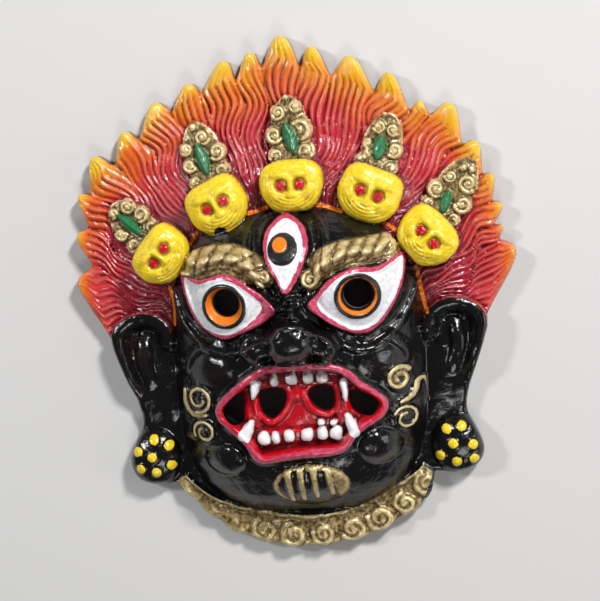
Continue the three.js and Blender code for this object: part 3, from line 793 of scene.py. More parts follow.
def crown_height(x, y, index, s, t):
    """Flame strands that run from the forehead into the tips, and how many strands lie to the left."""
    counts = strand_counts()
    before = np.concatenate([[0], np.cumsum(counts)])[index]
    wander = 0.3 * np.sin(t * 11 + index * 2.3) + 0.22 * np.sin(t * 21 + before * 1.7)
    strand = before + s * counts[index] + wander * faded(t, 0.2, 0.8)
    strand += 0.3 * lumps(x, y, 7, 9) * smoothstep(0, 0.2, t)
    crest = np.abs(np.sin(math.pi * strand)) ** 0.75
    uneven = 0.75 + 0.4 * np.sin(np.floor(strand) * 2.4) + 0.5 * lumps(x, y, 6, 3)
    bare = smoothstep(0.55, 0.85, t) * (0.66 + 0.3 * np.sin(index * 1.9))
    depth = STRAND_HEIGHT * np.clip(uneven, 0.25, 1.15) * (1 - bare)
    blade = BLADE_HEIGHT * ridge(2 * np.clip(s, 0, 1) - 1, 1) ** 0.6
    lap = TONGUE_LAP * (s - 0.5) * smoothstep(0.1, 0.3, t)
    bumps = 0.35 * lumps(x, y, 1.8, 5) * smoothstep(0.3, 0.05, t)
    relief = depth * (crest - 0.5) + blade * smoothstep(0.35, 0.75, t) + lap + bumps
    return plate_height(x, y) - STRAND_HEIGHT / 4 + relief, strand


def brow_height(x, y, brow):
    """A heavy brow of slanting lobes over a cord, with a curl by the nose, and its edge distance."""
    line = spline(brow["line"], closed=False)
    d, along = line_distance(line, x, y)
    ends = smoothstep(0.0, 0.12, along) * smoothstep(1.02, 0.82, along)
    width = brow["width"] * (0.45 + 0.55 * ends)
    body = ridge(d, width) ** 0.5
    above = (y - np.interp(x, *line_by_x(line))) / brow["width"]
    phase = along * brow["lobes"] + brow["slant"] * 0.5 * above
    lobe = np.abs(np.sin(math.pi * phase)) ** 0.6
    cord = ridge(above + 0.72, 0.3)
    wind = math.copysign(1, -brow["slant"])
    curl = scroll_relief(x, y, *brow["curl"], BROW_CURL_RADIUS, wind, 90)
    relief = body * (1.9 + 1.9 * lobe * smoothstep(-0.8, -0.4, above) + 0.6 * cord)
    curl_edge = distance_to(brow["curl"], x, y) - BROW_CURL_RADIUS
    return np.maximum(relief, BROW_CURL_HEIGHT * curl), np.minimum(d - width, curl_edge)


def line_by_x(line):
    """The x and the y of a line's points, from left to right."""
    order = np.argsort(line[:, 0])
    return line[order, 0], line[order, 1]


def nose_height(x, y):
    """Broad nose: bridge with short wrinkles, ball, two wings with raised rims, and nostrils."""
    bridge = 4.2 * ridge(x - 0.2, 7.5) * smoothstep(88, 74, y) * smoothstep(60, 68, y)
    ball = 8.6 * boss(x, y, *NOSE_BALL, 0.6)
    wings = 6.4 * np.maximum(*(boss(x, y, *wing, 0.5) for wing in NOSE_WINGS))
    z = bridge + np.maximum(ball, wings)
    for nostril in NOSTRILS:
        z -= 2.2 * boss(x, y, *nostril)
    for rim in NOSE_RIMS:
        d, along = stroke_distance(rim, x, y)
        z += 1.5 * ridge(d, 1.4) * faded(along, 0.15, 0.85)
    wrinkles = np.abs(np.sin(math.pi * (y - 70.4 + 0.02 * x * x) / WRINKLE_STEP)) ** 1.5
    return z + 1.7 * wrinkles * ridge(x + 0.6, 4.4) * smoothstep(69.5, 71.5, y) * smoothstep(83.2, 81, y)


def eye_height(eye, x, y):
    """A lidded eye: a raised rim round a bulging white, with a trough outside it."""
    d = shape_distance(eye["rim"], x, y)
    cx, cy = eye["middle"]
    socket = np.where(d < 0, eye["bulge"] * boss(x, y, cx, cy, 15, 13), 0)
    ball = 1.3 * boss(x, y, cx, cy, 10.6, 9.4, 0.6) * smoothstep(-0.8, -2.2, d)
    rim = 1.2 * ridge(d + 0.6, 1.5)
    trough = -1.3 * ridge(d - 2.2, 2.2)
    outer = 0.7 * ridge(d - 4.6, 1.5)
    return socket + ball + rim + trough + outer


def pupil_height(x, y):
    """The coned iris and the raised black ring, to be added round a drilled pupil."""
    z = np.zeros(np.shape(x))
    for pupil in PUPILS:
        hole = distance_to(pupil["hole"], x, y) - HOLE_RADIUS
        iris = distance_to(pupil["iris"], x, y)
        left = np.maximum(0, IRIS_RADIUS - iris)
        cone = np.where(iris < IRIS_RADIUS, left / np.maximum(left + np.maximum(hole, 0), 1e-6), 0)
        z += 0.55 * ridge(iris - (IRIS_RADIUS + RING_RADIUS) / 2, 0.85) - IRIS_DEPTH * cone
    return z


def third_eye_height(x, y):
    """The black disc in the middle of the third eye, with its dot."""
    disc = boss(x, y, *THIRD_DISC["at"], 4.4, 4.6, 0.5)
    dot = boss(x, y, *THIRD_DOT["at"], 2.2, 2.2, 0.5)
    return 0.7 * disc + 0.5 * dot


def mouth_height(x, y):
    """The open mouth: a raised lip, gums, raised rims round the holes, and bars between them."""
    d = shape_distance(MOUTH, x, y)
    lip = LIP_HEIGHT * ridge(d + 1.0, 2.3)
    inner = smoothstep(-1.5, -3.4, d)
    bars = np.maximum(ridge(x + 13.4, 2.2), ridge(x - 13.0, 2.2)) * smoothstep(37, 42, y)
    middle = ridge(x + 0.1, 2.6) * smoothstep(47, 50, y)
    rims = np.zeros(np.shape(x))
    for points in MOUTH_HOLES:
        rims = np.maximum(rims, ridge(shape_distance(points, x, y) - 0.7, 1.5))
    forms = 1.3 * rims + 1.9 * np.maximum(bars, middle)
    gums = 1.6 * (smoothstep(51.4, 53.4, y) + smoothstep(40.6, 39.2, y))
    return lip - inner * (MOUTH_DEPTH - np.maximum(forms, gums)), d


def tooth_heights(x, y):
    """Each tooth as a blunt block that stands on the gum; its height and its edge distance."""
    z = np.full(np.shape(x), -FAR)
    edge = far_away(x)
    uneven = 1 + 0.12 * lumps(x, y, 1.3, 31)
    for cx, cy, width, length, lean in TEETH:
        a, b = turned(x, y, cx, cy, lean)
        fang = length > FANG_LENGTH
        upper = cy > MOUTH_MIDDLE_Y
        point = smoothstep(-0.5, 0.5, (-b if upper else b) / length) if fang else 0
        half_width = width / 2 * (1 - 0.45 * point)
        size = rounded_square(a / half_width, 2 * b / length, 2.6) * uneven
        top = dome_height(cx, cy) + (0.8 if fang else -0.9)
        furrows = 0.16 * np.cos(a * 5.2) * (upper and not fang)
        block = top - TOOTH_ROUND * (1 - ridge(size, 1) ** 0.4) + furrows
        z = np.maximum(z, np.where(size < 1, block, -FAR))
        edge = np.minimum(edge, (size - 1) * width / 2)
    return z, edge


def scrollwork(x, y):
    """The scrolls and leaves on the cheeks: height, and distance to their gilt lines."""
    z = np.zeros(np.shape(x))
    edge = far_away(x)
    for scroll in SCROLLS:
        rho, turn = winding(x, y, *scroll["at"], scroll["radius"], scroll["wind"], scroll["start"])
        relief = np.zeros(np.shape(x))
        for lap in (0, 1):
            middle = 0.86 - 0.42 * (turn + lap)
            relief = np.maximum(relief, ridge(rho - middle, 0.22) * (middle > 0.2))
            gap = np.abs(rho - middle) * scroll["radius"] - scroll["gilt"]
            edge = np.minimum(edge, np.where(turn + lap < scroll["turns"], gap, FAR))
        relief = np.maximum(relief, 1.2 * boss(rho, 0 * rho, 0, 0, 0.3, 1, 0.5))
        z = np.maximum(z, 1.4 * relief**0.8 + 0.8 * ridge(rho, 1) ** 0.5)
    for leaf in LEAVES:
        d, along = stroke_distance(leaf, x, y)
        half = 1.1 * np.sqrt(np.clip(4 * along * (1 - along) + 0.1, 0, 1))
        z = np.maximum(z, 1.5 * ridge(d, half + 0.5))
        edge = np.minimum(edge, d - half * 0.75)
    return z, edge


def chin_height(x, y):
    """The patch of beard on the chin: height, and distance to its gilt locks, border and right end."""
    half_width, half_height = CHIN["half_width"], CHIN["half_height"]
    lift = CHIN["lift"] * boss(x, y, CHIN["x"], CHIN["y"], half_width, half_height, 0.5)
    reach = np.hypot((x - CHIN["x"]) / half_width, (y - CHIN["y"]) / half_height)
    edge = far_away(x)
    for x0, y0, x1, y1 in CHIN_LOCKS:
        d, along = line_distance([(x0, y0), (x1, y1)], x, y)
        half = 0.95 * (1 - 0.35 * along)
        lift = lift + 0.7 * ridge(d, half + 0.5)
        edge = np.minimum(edge, d - half)
    outside = (reach - 1) * CHIN_EDGE
    border = np.abs(reach - 0.92) * CHIN_EDGE - 0.5
    edge = np.minimum(edge, np.where((y > 17) & (x < 8), border, FAR))
    corner = np.maximum(outside, 9.4 + 0.24 * (CHIN["y"] - y) - x)
    top = np.where(x > 1, np.maximum(outside, 27.4 - y), FAR)
    return lift, np.minimum(edge, np.minimum(corner, top))


def face_relief(x, y):
    """Everything that stands on the face, with the distances that its paint needs."""
    z = dome_height(x, y)
    left, left_edge = brow_height(x, y, LEFT_BROW)
    right, right_edge = brow_height(x, y, RIGHT_BROW)
    for eye in EYES:
        z += eye_height(eye, x, y)
    z += pupil_height(x, y) + third_eye_height(x, y)
    z += np.maximum(left, right) + nose_height(x, y)
    mouth, mouth_edge = mouth_height(x, y)
    z += mouth
    outside_mouth = smoothstep(0.5, 2.0, mouth_edge)
    for fold in FOLDS:
        d, along = stroke_distance(fold, x, y)
        z += FOLD_HEIGHT * ridge(d, 2.0) * faded(along, 0.12, 0.8) * outside_mouth
    for lump in LUMPS:
        z += LUMP_HEIGHT * boss(x, y, *lump, 0.7)
    for cheek in CHEEKS:
        z += CHEEK_HEIGHT * boss(x, y, *cheek)
    scrolls, scroll_edge = scrollwork(x, y)
    chin, chin_edge = chin_height(x, y)
    z += scrolls + chin
    teeth, tooth_edge = tooth_heights(x, y)
    gilt = np.minimum(np.minimum(left_edge, right_edge), np.minimum(scroll_edge, chin_edge))
    return np.maximum(z, teeth), {"gold": gilt, "tooth": tooth_edge, "pink": mouth_edge}


def ear_height(x, y):
    """The ear on the right: rim, inner fold and the earring's boss. The left one is its mirror."""
    rim, along = stroke_distance(EAR_RIM, x, y)
    fold, fold_along = stroke_distance(EAR_FOLD, x, y)
    helix = 4.6 * ridge(rim, 4.2) * smoothstep(1.0, 0.7, along)
    inner = 2.4 * ridge(fold, 3.4) * faded(fold_along, 0.25, 0.6)
    lobe = 5.2 * boss(x, y, *EARRING, 0.6)
    soft = 1.6 * boss(x, y, *EAR_HOLLOW) + 0.7 * lumps(x, y, 6, 21)
    return PLATE - 0.2 + np.maximum(np.maximum(helix, inner), np.maximum(lobe, soft))


def beard_height(x, y):
    """The beard band: a raised cord along the face, then a row of curls, fainter towards the left."""
    u, v = beard_place(x, y)
    cell = u * BEARD["curls"]
    number = np.clip(np.floor(cell), 0, BEARD["curls"] - 1)
    cx, cy = beard_point((number + 0.5) / BEARD["curls"], *CURL_REACH)
    radius = 4.7 + 0.5 * np.sin(number * 2.1)
    start = 150 + 60 * np.sin(number * 1.3)
    strength = mix(0.3, 1.0, smoothstep(1, 5, number))
    curl = strength * scroll_relief(x, y, cx, cy, radius, 1, start)
    wave = np.abs(np.sin(math.pi * cell))
    band = 0.5 + 0.9 * ridge(v - 0.02, 0.13) + 0.6 * wave * smoothstep(0.1, 0.5, v)
    cast = 0.4 * lumps(x, y, 2.0, 41)
    return PLATE + 0.6 + np.maximum(band, BEARD_CURL_HEIGHT * curl) + cast - 0.9 * v * v


def skull_relief(x, y, skull):
    """A skull: round brow, snout, sockets with bead eyes, and grooves round the mouth.

    a and b run across and up the skull, 1 at its edges. Returns height, edge and bead distances.
    """
    a, b = turned(x, y, *skull["at"], skull["turn"])
    b = b / (skull["height"] / 2)
    a = a / (skull["width"] / 2 * (1 - 0.2 * smoothstep(0, -1, b)))
    uneven = 1 + 0.012 * np.cos(5 * np.arctan2(b, a) + skull["at"][0])
    size = rounded_square(a, b, 3.3) * uneven
    z = SKULL_HEIGHT * ridge(size, 1) ** 0.34
    beads = far_away(x)
    for side in (-EYE_SPACING, EYE_SPACING):
        z -= 1.7 * boss(a, b, side, EYE_UP, 0.25, 0.3, 0.8)
        z += 0.9 * boss(a, b, side * 1.1, 0.46, 0.36, 0.18)
        z += 0.7 * boss(a, b, side * 1.9, -0.22, 0.24, 0.3)
        d = np.hypot((a - side) * skull["width"] / 2, (b - EYE_UP) * skull["height"] / 2)
        z += 1.8 * ridge(d, BEAD_RADIUS + 0.1) ** 0.5
        beads = np.minimum(beads, d - BEAD_RADIUS)
    z += 1.0 * ridge(a, 0.1) * smoothstep(-0.32, -0.1, b) * smoothstep(0.5, 0.2, b)
    z += 0.8 * boss(a, b, 0, -0.3, 0.2, 0.14) + 0.9 * boss(a, b, 0, -0.6, 0.5, 0.34)
    rings = np.hypot(a * 0.85, b + 0.1)
    grooves = np.cos(2 * math.pi * (rings - 0.42) / 0.13)
    z += 0.32 * grooves * smoothstep(-0.34, -0.46, b) * smoothstep(0.9, 0.76, rings)
    top = plate_height(*skull["at"]) + SKULL_STAND + z
    return np.where(size < 1, top, -FAR), (size - 1) * skull["height"] / 2, beads


def finial_relief(x, y, skull):
    """A finial of scrollwork above a skull, with a leaf-shaped gem down its middle.

    Returns its height and the distances to its edge and to the gem's.
    """
    a, b = turned(x, y, *skull["at"], skull["lean"])
    b = b - skull["height"] / 2 + FINIAL_OVERLAP
    length = skull["finial"]
    body = boss(a, b, 0.2, 0.42 * length, 6.0, 0.57 * length)
    z = 2.3 * body**0.35
    edge = np.where(body > 0, -body * 4, NO_PAINT)
    for across, up, radius, wind in skull["scrolls"]:
        start = 200 if wind > 0 else 20
        scroll = scroll_relief(a, b, across, up, radius * 1.06, wind, start)
        z = np.maximum(z, 1.3 + 2.2 * scroll)
        edge = np.minimum(edge, distance_to((across, up), a, b) - radius)
    across, up, half_width, half_length, lean = skull["gem"]
    ga, gb = turned(a, b, across, up, lean)
    leaf = 1 - np.abs(ga) / (half_width * np.maximum(0.02, 1 - (gb / half_length) ** 2) ** 0.8)
    leaf = np.where(np.abs(gb) < half_length, leaf, -1)
    trench = np.maximum(0, 1 + leaf * 1.4) * (leaf < 0) * (np.abs(gb) < half_length)
    z = np.where(leaf > 0, 2.3 + 1.5 * np.clip(leaf, 0, 1) ** 0.6, z - 0.9 * trench)
    top = plate_height(x, y) + 0.4 + z
    return np.where(edge < 0, top, -FAR), edge, -np.maximum(leaf, -4) * half_width * 0.8


# The surface: heights and paint distances at every grid node


def near(x, y, centre, reach):
    """Which points lie in a square round the centre."""
    return (np.abs(x - centre[0]) < reach) & (np.abs(y - centre[1]) < reach)


def lower(target, here, values):
    """Brings a field down to the given values in one region."""
    target[here] = np.minimum(target[here], values)


def raise_to(target, here, values):
    """Brings a field up to the given values in one region."""
    target[here] = np.maximum(target[here], values)


def under_ceiling(z):
    """The heights, with the highest rounded off below the top of the solid's box."""
    top = CAD_BOX[1][2] / MM
    over = np.maximum(0, z - (top - CEILING_SOFTNESS))
    soft = top - CEILING_SOFTNESS * np.exp(-over / CEILING_SOFTNESS)
    return np.where(over > 0, soft, z)


def add_ears(x, y, z, paint, reach):
    """Raises both ears and keeps the flames' paint off them."""
    top_edge = [(33, 60)] + EAR_RIM + [(46, 30), (33, 30)]
    ear_side = (np.abs(x) > 33) & (y < 79) & (y > 18)
    ears = far_away(x)
    for side in (1, -1):
        here = ear_side & (side * x > 0) & (reach > 0.93)
        across, up = side * x[here], y[here]
        edge = shape_distance(EAR_EDGE, across, up)
        top = shape_distance(top_edge, across, up)
        ear = (edge < 1) & ((top < 1.6) | (up < CROWN_FOOT))
        raise_to(z, here, np.where(ear, ear_height(across, up), 0))
        lower(ears, here, np.where(up < 60, -NO_PAINT, top - 1.4))
    paint["blaze"] = np.maximum((1 - reach) * FACE_HALF_WIDTH, np.maximum(-ears, CROWN_FOOT - y))


def add_beard(x, y, z, paint):
    """Raises the beard band; its gilding is worn off along the outer edge at the right end."""
    beard = (y < 36) & (beard_place(x, y)[1] > -0.05)
    u, v = beard_place(x[beard], y[beard])
    within = (u > -0.005) & (u < 1.005)
    raise_to(z, beard, np.where(within, beard_height(x[beard], y[beard]), 0))
    wear_and_painted_light = NO_PAINT * smoothstep(0.82, 0.92, u) * smoothstep(0.62, 0.9, v) - 8 * v
    ends = np.maximum(-u, u - 1) * 90
    lower(paint["gold"], beard, np.where(within, np.maximum(wear_and_painted_light, ends), NO_PAINT))


def add_skulls(x, y, z, paint):
    """Raises the finials, then the skulls over their feet."""
    for skull in SKULLS:
        here = near(x, y, skull["at"], FINIAL_SPAN)
        top, edge, gem = finial_relief(x[here], y[here], skull)
        raise_to(z, here, top)
        lower(paint["gold"], here, edge)
        lower(paint["gem"], here, gem)
    for skull in SKULLS:
        here = near(x, y, skull["at"], SKULL_SPAN)
        top, edge, beads = skull_relief(x[here], y[here], skull)
        raise_to(z, here, top)
        lower(paint["yellow"], here, edge)
        lower(paint["red"], here, beads)
    spot = BARE_SPOT["radius"] - distance_to(BARE_SPOT["at"], x, y)
    paint["yellow"] = np.maximum(paint["yellow"], spot)


def add_dots(x, y, z, paint):
    """Raises the yellow dots of both earrings."""
    for dot in LEFT_DOTS + RIGHT_DOTS:
        here = near(x, y, dot, 4)
        d = distance_to(dot, x[here], y[here])
        z[here] += 0.8 * ridge(d, DOT_RADIUS + 0.3) ** 0.6
        lower(paint["yellow"], here, d - DOT_RADIUS)


def paint_face(x, y, paint):
    """Distances to the painted areas that have no relief of their own: eyes, mouth and garland."""
    for eye in EYES:
        here = near(x, y, np.mean(eye["rim"], axis=0), 18)
        lower(paint["pink"], here, shape_distance(eye["rim"], x[here], y[here]))
        lower(paint["white"], here, shape_distance(eye["white"], x[here], y[here]))
    rings, oranges = [], []
    for pupil in PUPILS:
        iris = distance_to(pupil["iris"], x, y)
        hole = distance_to(pupil["hole"], x, y)
        rings.append(iris - RING_RADIUS)
        # The cone is left black out to the pupil's dark reach: painted shadow inside the hole.
        oranges.append(np.maximum(iris - IRIS_RADIUS, pupil["dark"] - hole))
    disc, dot = THIRD_DISC, THIRD_DOT
    rings.append(np.hypot(x - disc["at"][0], (y - disc["at"][1]) * 0.95) - disc["radius"])
    oranges.append(distance_to(dot["at"], x, y) - dot["radius"])
    for line in GARLAND:
        d, _ = stroke_distance(line, x, y)
        oranges.append(np.maximum(d - GARLAND_WIDTH, 0.3 - paint["yellow"]))
    paint["ring"] = np.minimum.reduce([paint["ring"], *rings])
    paint["orange"] = np.minimum.reduce([paint["orange"], *oranges])
    paint["red"] = np.minimum(paint["red"], shape_distance(MOUTH_RED, x, y))


def surface(x, y):
    """Height of the front, and the distance to each painted area, negative where it is painted."""
    z = np.full(x.shape, PLATE)
    paint = {name: np.full(x.shape, NO_PAINT) for name in PAINTS}
    flames = {"warmth": np.zeros(x.shape), "strand": np.zeros(x.shape)}
    reach = face_reach(x, y)

    crown = (reach > 0.95) & (y > 60) & (outline_distance(x, y) < 1.5)
    index, s, t = crown_places(x[crown], y[crown])
    z[crown], flames["strand"][crown] = crown_height(x[crown], y[crown], index, s, t)
    flames["warmth"][crown] = t * mix(LOW_WARMTH, 1, smoothstep(78, 116, y[crown]))

    face = reach < 1
    z[face], details = face_relief(x[face], y[face])
    for name, distance in details.items():
        lower(paint[name], face, distance)
    add_ears(x, y, z, paint, reach)
    add_beard(x, y, z, paint)
    add_skulls(x, y, z, paint)
    add_dots(x, y, z, paint)
    paint_face(x, y, paint)

    cast = 0.26 * lumps(x, y, 4.6, 10) + 0.13 * lumps(x, y, 2.2, 11) + 0.06 * lumps(x, y, 1.2, 12)
    smooth = smoothstep(-0.3, 0.4, np.minimum(paint["white"], paint["tooth"]))
    return under_ceiling(z + cast * mix(0.3, 1, smooth)), {**paint, **flames}


# The mesh


def grid_lines(low, high, fine_low, fine_high):
    """Grid lines that lie a fine step apart in the middle stretch and a coarse step elsewhere."""
    left = np.linspace(low, fine_low, round((fine_low - low) / COARSE_STEP), endpoint=False)
    middle = np.linspace(fine_low, fine_high, round((fine_high - fine_low) / FINE_STEP), endpoint=False)
    right = np.linspace(fine_high, high, round((high - fine_high) / COARSE_STEP) + 1)
    return np.concatenate([left, middle, right])


def softened(field, times):
    """A field on the grid, averaged with its neighbours a few times over."""
    for _ in range(times):
        padded = np.pad(field, 1, mode="edge")
        above_below = padded[:-2, 1:-1] + padded[2:, 1:-1]
        beside = padded[1:-1, :-2] + padded[1:-1, 2:]
        field = (above_below + beside + 4 * field) / 8
    return field


def rounded_off(z, edge_distance, radius):
    """The heights, rounded down towards an edge."""
    near_edge = np.clip(edge_distance / radius, 0, 1)
    return z - radius * (1 - np.sqrt(1 - (1 - near_edge) ** 2))


def whole_cells(corners, z):
    """Two triangles for each cell that lies inside, split along the flatter diagonal."""
    first = np.abs(z[corners[:, 0]] - z[corners[:, 2]]) <= np.abs(z[corners[:, 1]] - z[corners[:, 3]])
    a, b = corners[first], corners[~first]
    return [a[:, [0, 1, 2]], a[:, [0, 2, 3]], b[:, [0, 1, 3]], b[:, [1, 2, 3]]]


def cut_cells(corners, cut, data):
    """Triangles for the inside part of each cell on the edge; new vertices are added to the data."""
    crossings = {}

    def crossing(p, q):
        key = (min(p, q), max(p, q))
        if key not in crossings:
            share = cut[p] / (cut[p] - cut[q])
            for field in data.values():
                field.append(mix(field[p], field[q], share))
            crossings[key] = len(data["x"]) - 1
        return crossings[key]

    triangles = []
    for cell in corners:
        ring = []
        for p, q in zip(cell, np.roll(cell, -1)):
            if cut[p] <= 0:
                ring.append(int(p))
            if cut[p] * cut[q] < 0:
                ring.append(crossing(int(p), int(q)))
        triangles += [(ring[0], ring[k], ring[k + 1]) for k in range(1, len(ring) - 1)]
    return np.array(triangles)


def front_mesh():
    """Vertices, values and triangles of the front, cut off along the outline and round each hole."""
    xs = grid_lines(*GRID_X, *FINE_X)
    ys = grid_lines(*GRID_Y, *FINE_Y)
    gx, gy = np.meshgrid(xs, ys)
    outer = softened(outline_distance(gx, gy), 2)
    holes = hole_distance(gx, gy)
    cut = np.maximum(outer, -holes)

    # Nodes close to the edge are moved onto it, so that no thin slivers are left.
    slope_y, slope_x = np.gradient(cut, ys, xs)
    steep = np.maximum(np.hypot(slope_x, slope_y), 0.3)
    close = np.abs(cut) < 0.3 * FINE_STEP
    gx = np.where(close, gx - cut * slope_x / steep**2, gx)
    gy = np.where(close, gy - cut * slope_y / steep**2, gy)
    cut = np.where(close, 0, cut)

    x, y = gx.ravel(), gy.ravel()
    z, values = surface(x, y)
    z = rounded_off(z, -outer.ravel(), RIM_ROUND)
    z = rounded_off(z, holes.ravel(), HOLE_ROUND)
    z = np.maximum(z, THINNEST_EDGE)
    grid_z = z.reshape(gx.shape)
    # How far each place stands above or sinks below its surroundings; the paint turns this into painted
    # highlights on crests and painted shade in hollows.
    values["crest"] = (grid_z - softened(grid_z, CREST_SPREAD)).ravel()

    node = np.arange(cut.size).reshape(cut.shape)
    corners = np.stack([node[:-1, :-1], node[:-1, 1:], node[1:, 1:], node[1:, :-1]], -1).reshape(-1, 4)
    cut = cut.ravel()
    inside = (cut <= 0)[corners]
    triangles = whole_cells(corners[inside.all(1)], z)
    data = {name: list(field) for name, field in {"x": x, "y": y, "z": z, **values}.items()}
    triangles.append(cut_cells(corners[inside.any(1) & ~inside.all(1)], cut, data))
    triangles = np.vstack(triangles)

    used = np.unique(triangles)
    renumber = np.full(len(data["x"]), -1)
    renumber[used] = np.arange(len(used))
    data = {name: np.array(field)[used] for name, field in data.items()}
    return data, renumber[triangles]


def boundary_edges(triangles):
    """The directed edges that only one triangle has."""
    edges = np.vstack([triangles[:, [0, 1]], triangles[:, [1, 2]], triangles[:, [2, 0]]])
    keys = {tuple(e) for e in edges.tolist()}
    return np.array([e for e in edges.tolist() if (e[1], e[0]) not in keys])


def hollow_height(x, y):
    """The back of the mask: flat, with a hollow behind the face that follows the dome."""
    nose = NOSE_HOLLOW_DEPTH * boss(x, y, *NOSE_HOLLOW)
    mouth = MOUTH_WALL * smoothstep(MOUTH_WALL_WIDTH, 0, shape_distance(MOUTH, x, y))
    depth = dome_height(x, y) - WALL + nose - mouth
    return np.maximum(0, depth) * smoothstep(HOLLOW_RINGS[0], HOLLOW_RINGS[2], face_reach(x, y, WALL))


def back_points():
    """Points of the back: rings along the hollow's edge and an even scatter elsewhere."""
    angle = np.linspace(0, 2 * math.pi, RING_POINTS, endpoint=False)
    points = [face_ring(angle, WALL, grow) for grow in HOLLOW_RINGS]
    for k, y in enumerate(np.arange(0, HEIGHT, BACK_STEP * ROW_SPACING)):
        x = np.arange(*BACK_X, BACK_STEP) + (k % 2) * BACK_STEP / 2
        points.append(np.stack([x, np.full(x.shape, y)], -1))
    points = np.vstack(points)
    cut = np.maximum(outline_distance(*points.T), -hole_distance(*points.T))
    return points[cut < -BACK_CLEARANCE]


def back_mesh(rim, rim_edges):
    """The points of the back, with the front's rim first, and its triangles, facing down."""
    points = np.vstack([rim, back_points()])
    flat = [Vector(p) for p in points]
    found = geometry.delaunay_2d_cdt(flat, rim_edges.tolist(), [], WITHIN_EDGES, SAME_PLACE)
    places = np.array([tuple(p) for p in found[0]])
    faces = np.array(found[2])
    source = np.array([origins[0] if origins else -1 for origins in found[3]])
    faces = source[faces[hole_distance(*places[faces].mean(1).T) > 0]]
    a, b, c = (points[faces[:, corner]] for corner in range(3))
    upward = np.cross(b - a, c - a) > 0
    return points, np.where(upward[:, None], faces[:, ::-1], faces)


def closed_mask():
    """Vertices, faces and values of the whole mask: its front, its sides and its back."""
    data, triangles = front_mesh()
    edges = boundary_edges(triangles)
    rim = np.unique(edges)
    rim_edges = np.searchsorted(rim, edges)
    front = np.stack([data.pop("x"), data.pop("y"), data.pop("z")], -1)
    points, back = back_mesh(front[rim, :2], rim_edges)
    sides = []
    for (a, b), (c, d) in zip(edges, rim_edges + len(front)):
        sides += [(b, a, c), (b, c, d)]
    faces = np.vstack([triangles, np.array(sides), back + len(front)])
    places = np.vstack([front, np.column_stack([points, hollow_height(*points.T)])])
    data["back"] = np.zeros(len(front))
    for name, field in data.items():
        data[name] = np.append(field, np.full(len(points), BEHIND.get(name, NO_PAINT)))
    return places, faces, data


def inside_box(places):
    """The places in metres, kept a little inside the solid's box."""
    places = (places - (0, HEIGHT / 2, 0)) * MM
    low, high = (np.array(tuple(corner)) for corner in CAD_BOX)
    places[:, :2] = np.clip(places[:, :2], low[:2] + BOX_INSET, high[:2] - BOX_INSET)
    places[:, 2] = np.minimum(places[:, 2], high[2] - BOX_INSET)
    return places


def mask_object():
    places, faces, data = closed_mask()
    mesh = bpy.data.meshes.new("mask_relief")
    mesh.from_pydata(inside_box(places).tolist(), [], faces.tolist())
    mesh.validate()
    mesh.shade_smooth()
    for name, field in data.items():
        mesh.attributes.new(name, "FLOAT", "POINT").data.foreach_set("value", field)
    return placed("mask_relief", mesh)


# Materials


class Nodes:
    """A short way to write a node tree: each call adds a node and returns its output."""

    def __init__(self, name):
        self.material = bpy.data.materials.new(name)
        self.material.use_nodes = True
        self.tree = self.material.node_tree
        self.tree.nodes.clear()

    def add(self, kind, inputs, **settings):
        """A node with its inputs: each is another node's output, a number, or a tuple for a colour."""
        node = self.tree.nodes.new(kind)
        for name, value in settings.items():
            setattr(node, name, value)
        for key, value in inputs.items():
            if isinstance(value, bpy.types.NodeSocket):
                self.tree.links.new(value, node.inputs[key])
            elif isinstance(value, tuple):
                node.inputs[key].default_value = (*value, 1)
            else:
                node.inputs[key].default_value = value
        return node

    def math(self, operation, a, b=0.0, c=0.0, clamp=False):
        inputs = {0: a, 1: b, 2: c}
        return self.add("ShaderNodeMath", inputs, operation=operation, use_clamp=clamp).outputs[0]

    def scaled(self, value, factor, offset=0.0, clamp=False):
        """The value times a factor, with an offset added."""
        return self.math("MULTIPLY_ADD", value, factor, offset, clamp)

    def attribute(self, name):
        node = self.add("ShaderNodeAttribute", {}, attribute_type="GEOMETRY", attribute_name=name)
        return node.outputs["Fac"]

    def noise(self, size, detail=2.0, roughness=0.5):
        """Noise whose blobs are about the given number of millimetres across."""
        place = self.add("ShaderNodeTexCoord", {}).outputs["Object"]
        inputs = {"Vector": place, "Scale": 1 / (size * MM), "Detail": detail, "Roughness": roughness}
        return self.add("ShaderNodeTexNoise", inputs).outputs["Fac"]

    def ramp(self, value, low, high):
        """0 at low and 1 at high, smooth between."""
        inputs = {"Value": value, "From Min": low, "From Max": high}
        return self.add("ShaderNodeMapRange", inputs, interpolation_type="SMOOTHSTEP").outputs["Result"]

    def blend(self, factor, a, b):
        return self.add("ShaderNodeMix", {0: factor, 6: a, 7: b}, data_type="RGBA").outputs[2]

    def colours(self, value, stops):
        """A run of colours along a value."""
        node = self.add("ShaderNodeValToRGB", {0: value})
        elements = node.color_ramp.elements
        while len(elements) < len(stops):
            elements.new(0.5)
        for element, (place, colour) in zip(elements, stops):
            element.position = place
            element.color = (*colour, 1)
        return node.outputs[0]

    def finish(self, **inputs):
        """Ends the tree in a shader, with underscores for the spaces of its inputs' names."""
        inputs = {name.replace("_", " "): value for name, value in inputs.items()}
        shader = self.add("ShaderNodeBsdfPrincipled", inputs)
        self.add("ShaderNodeOutputMaterial", {"Surface": shader.outputs[0]})
        return self.material


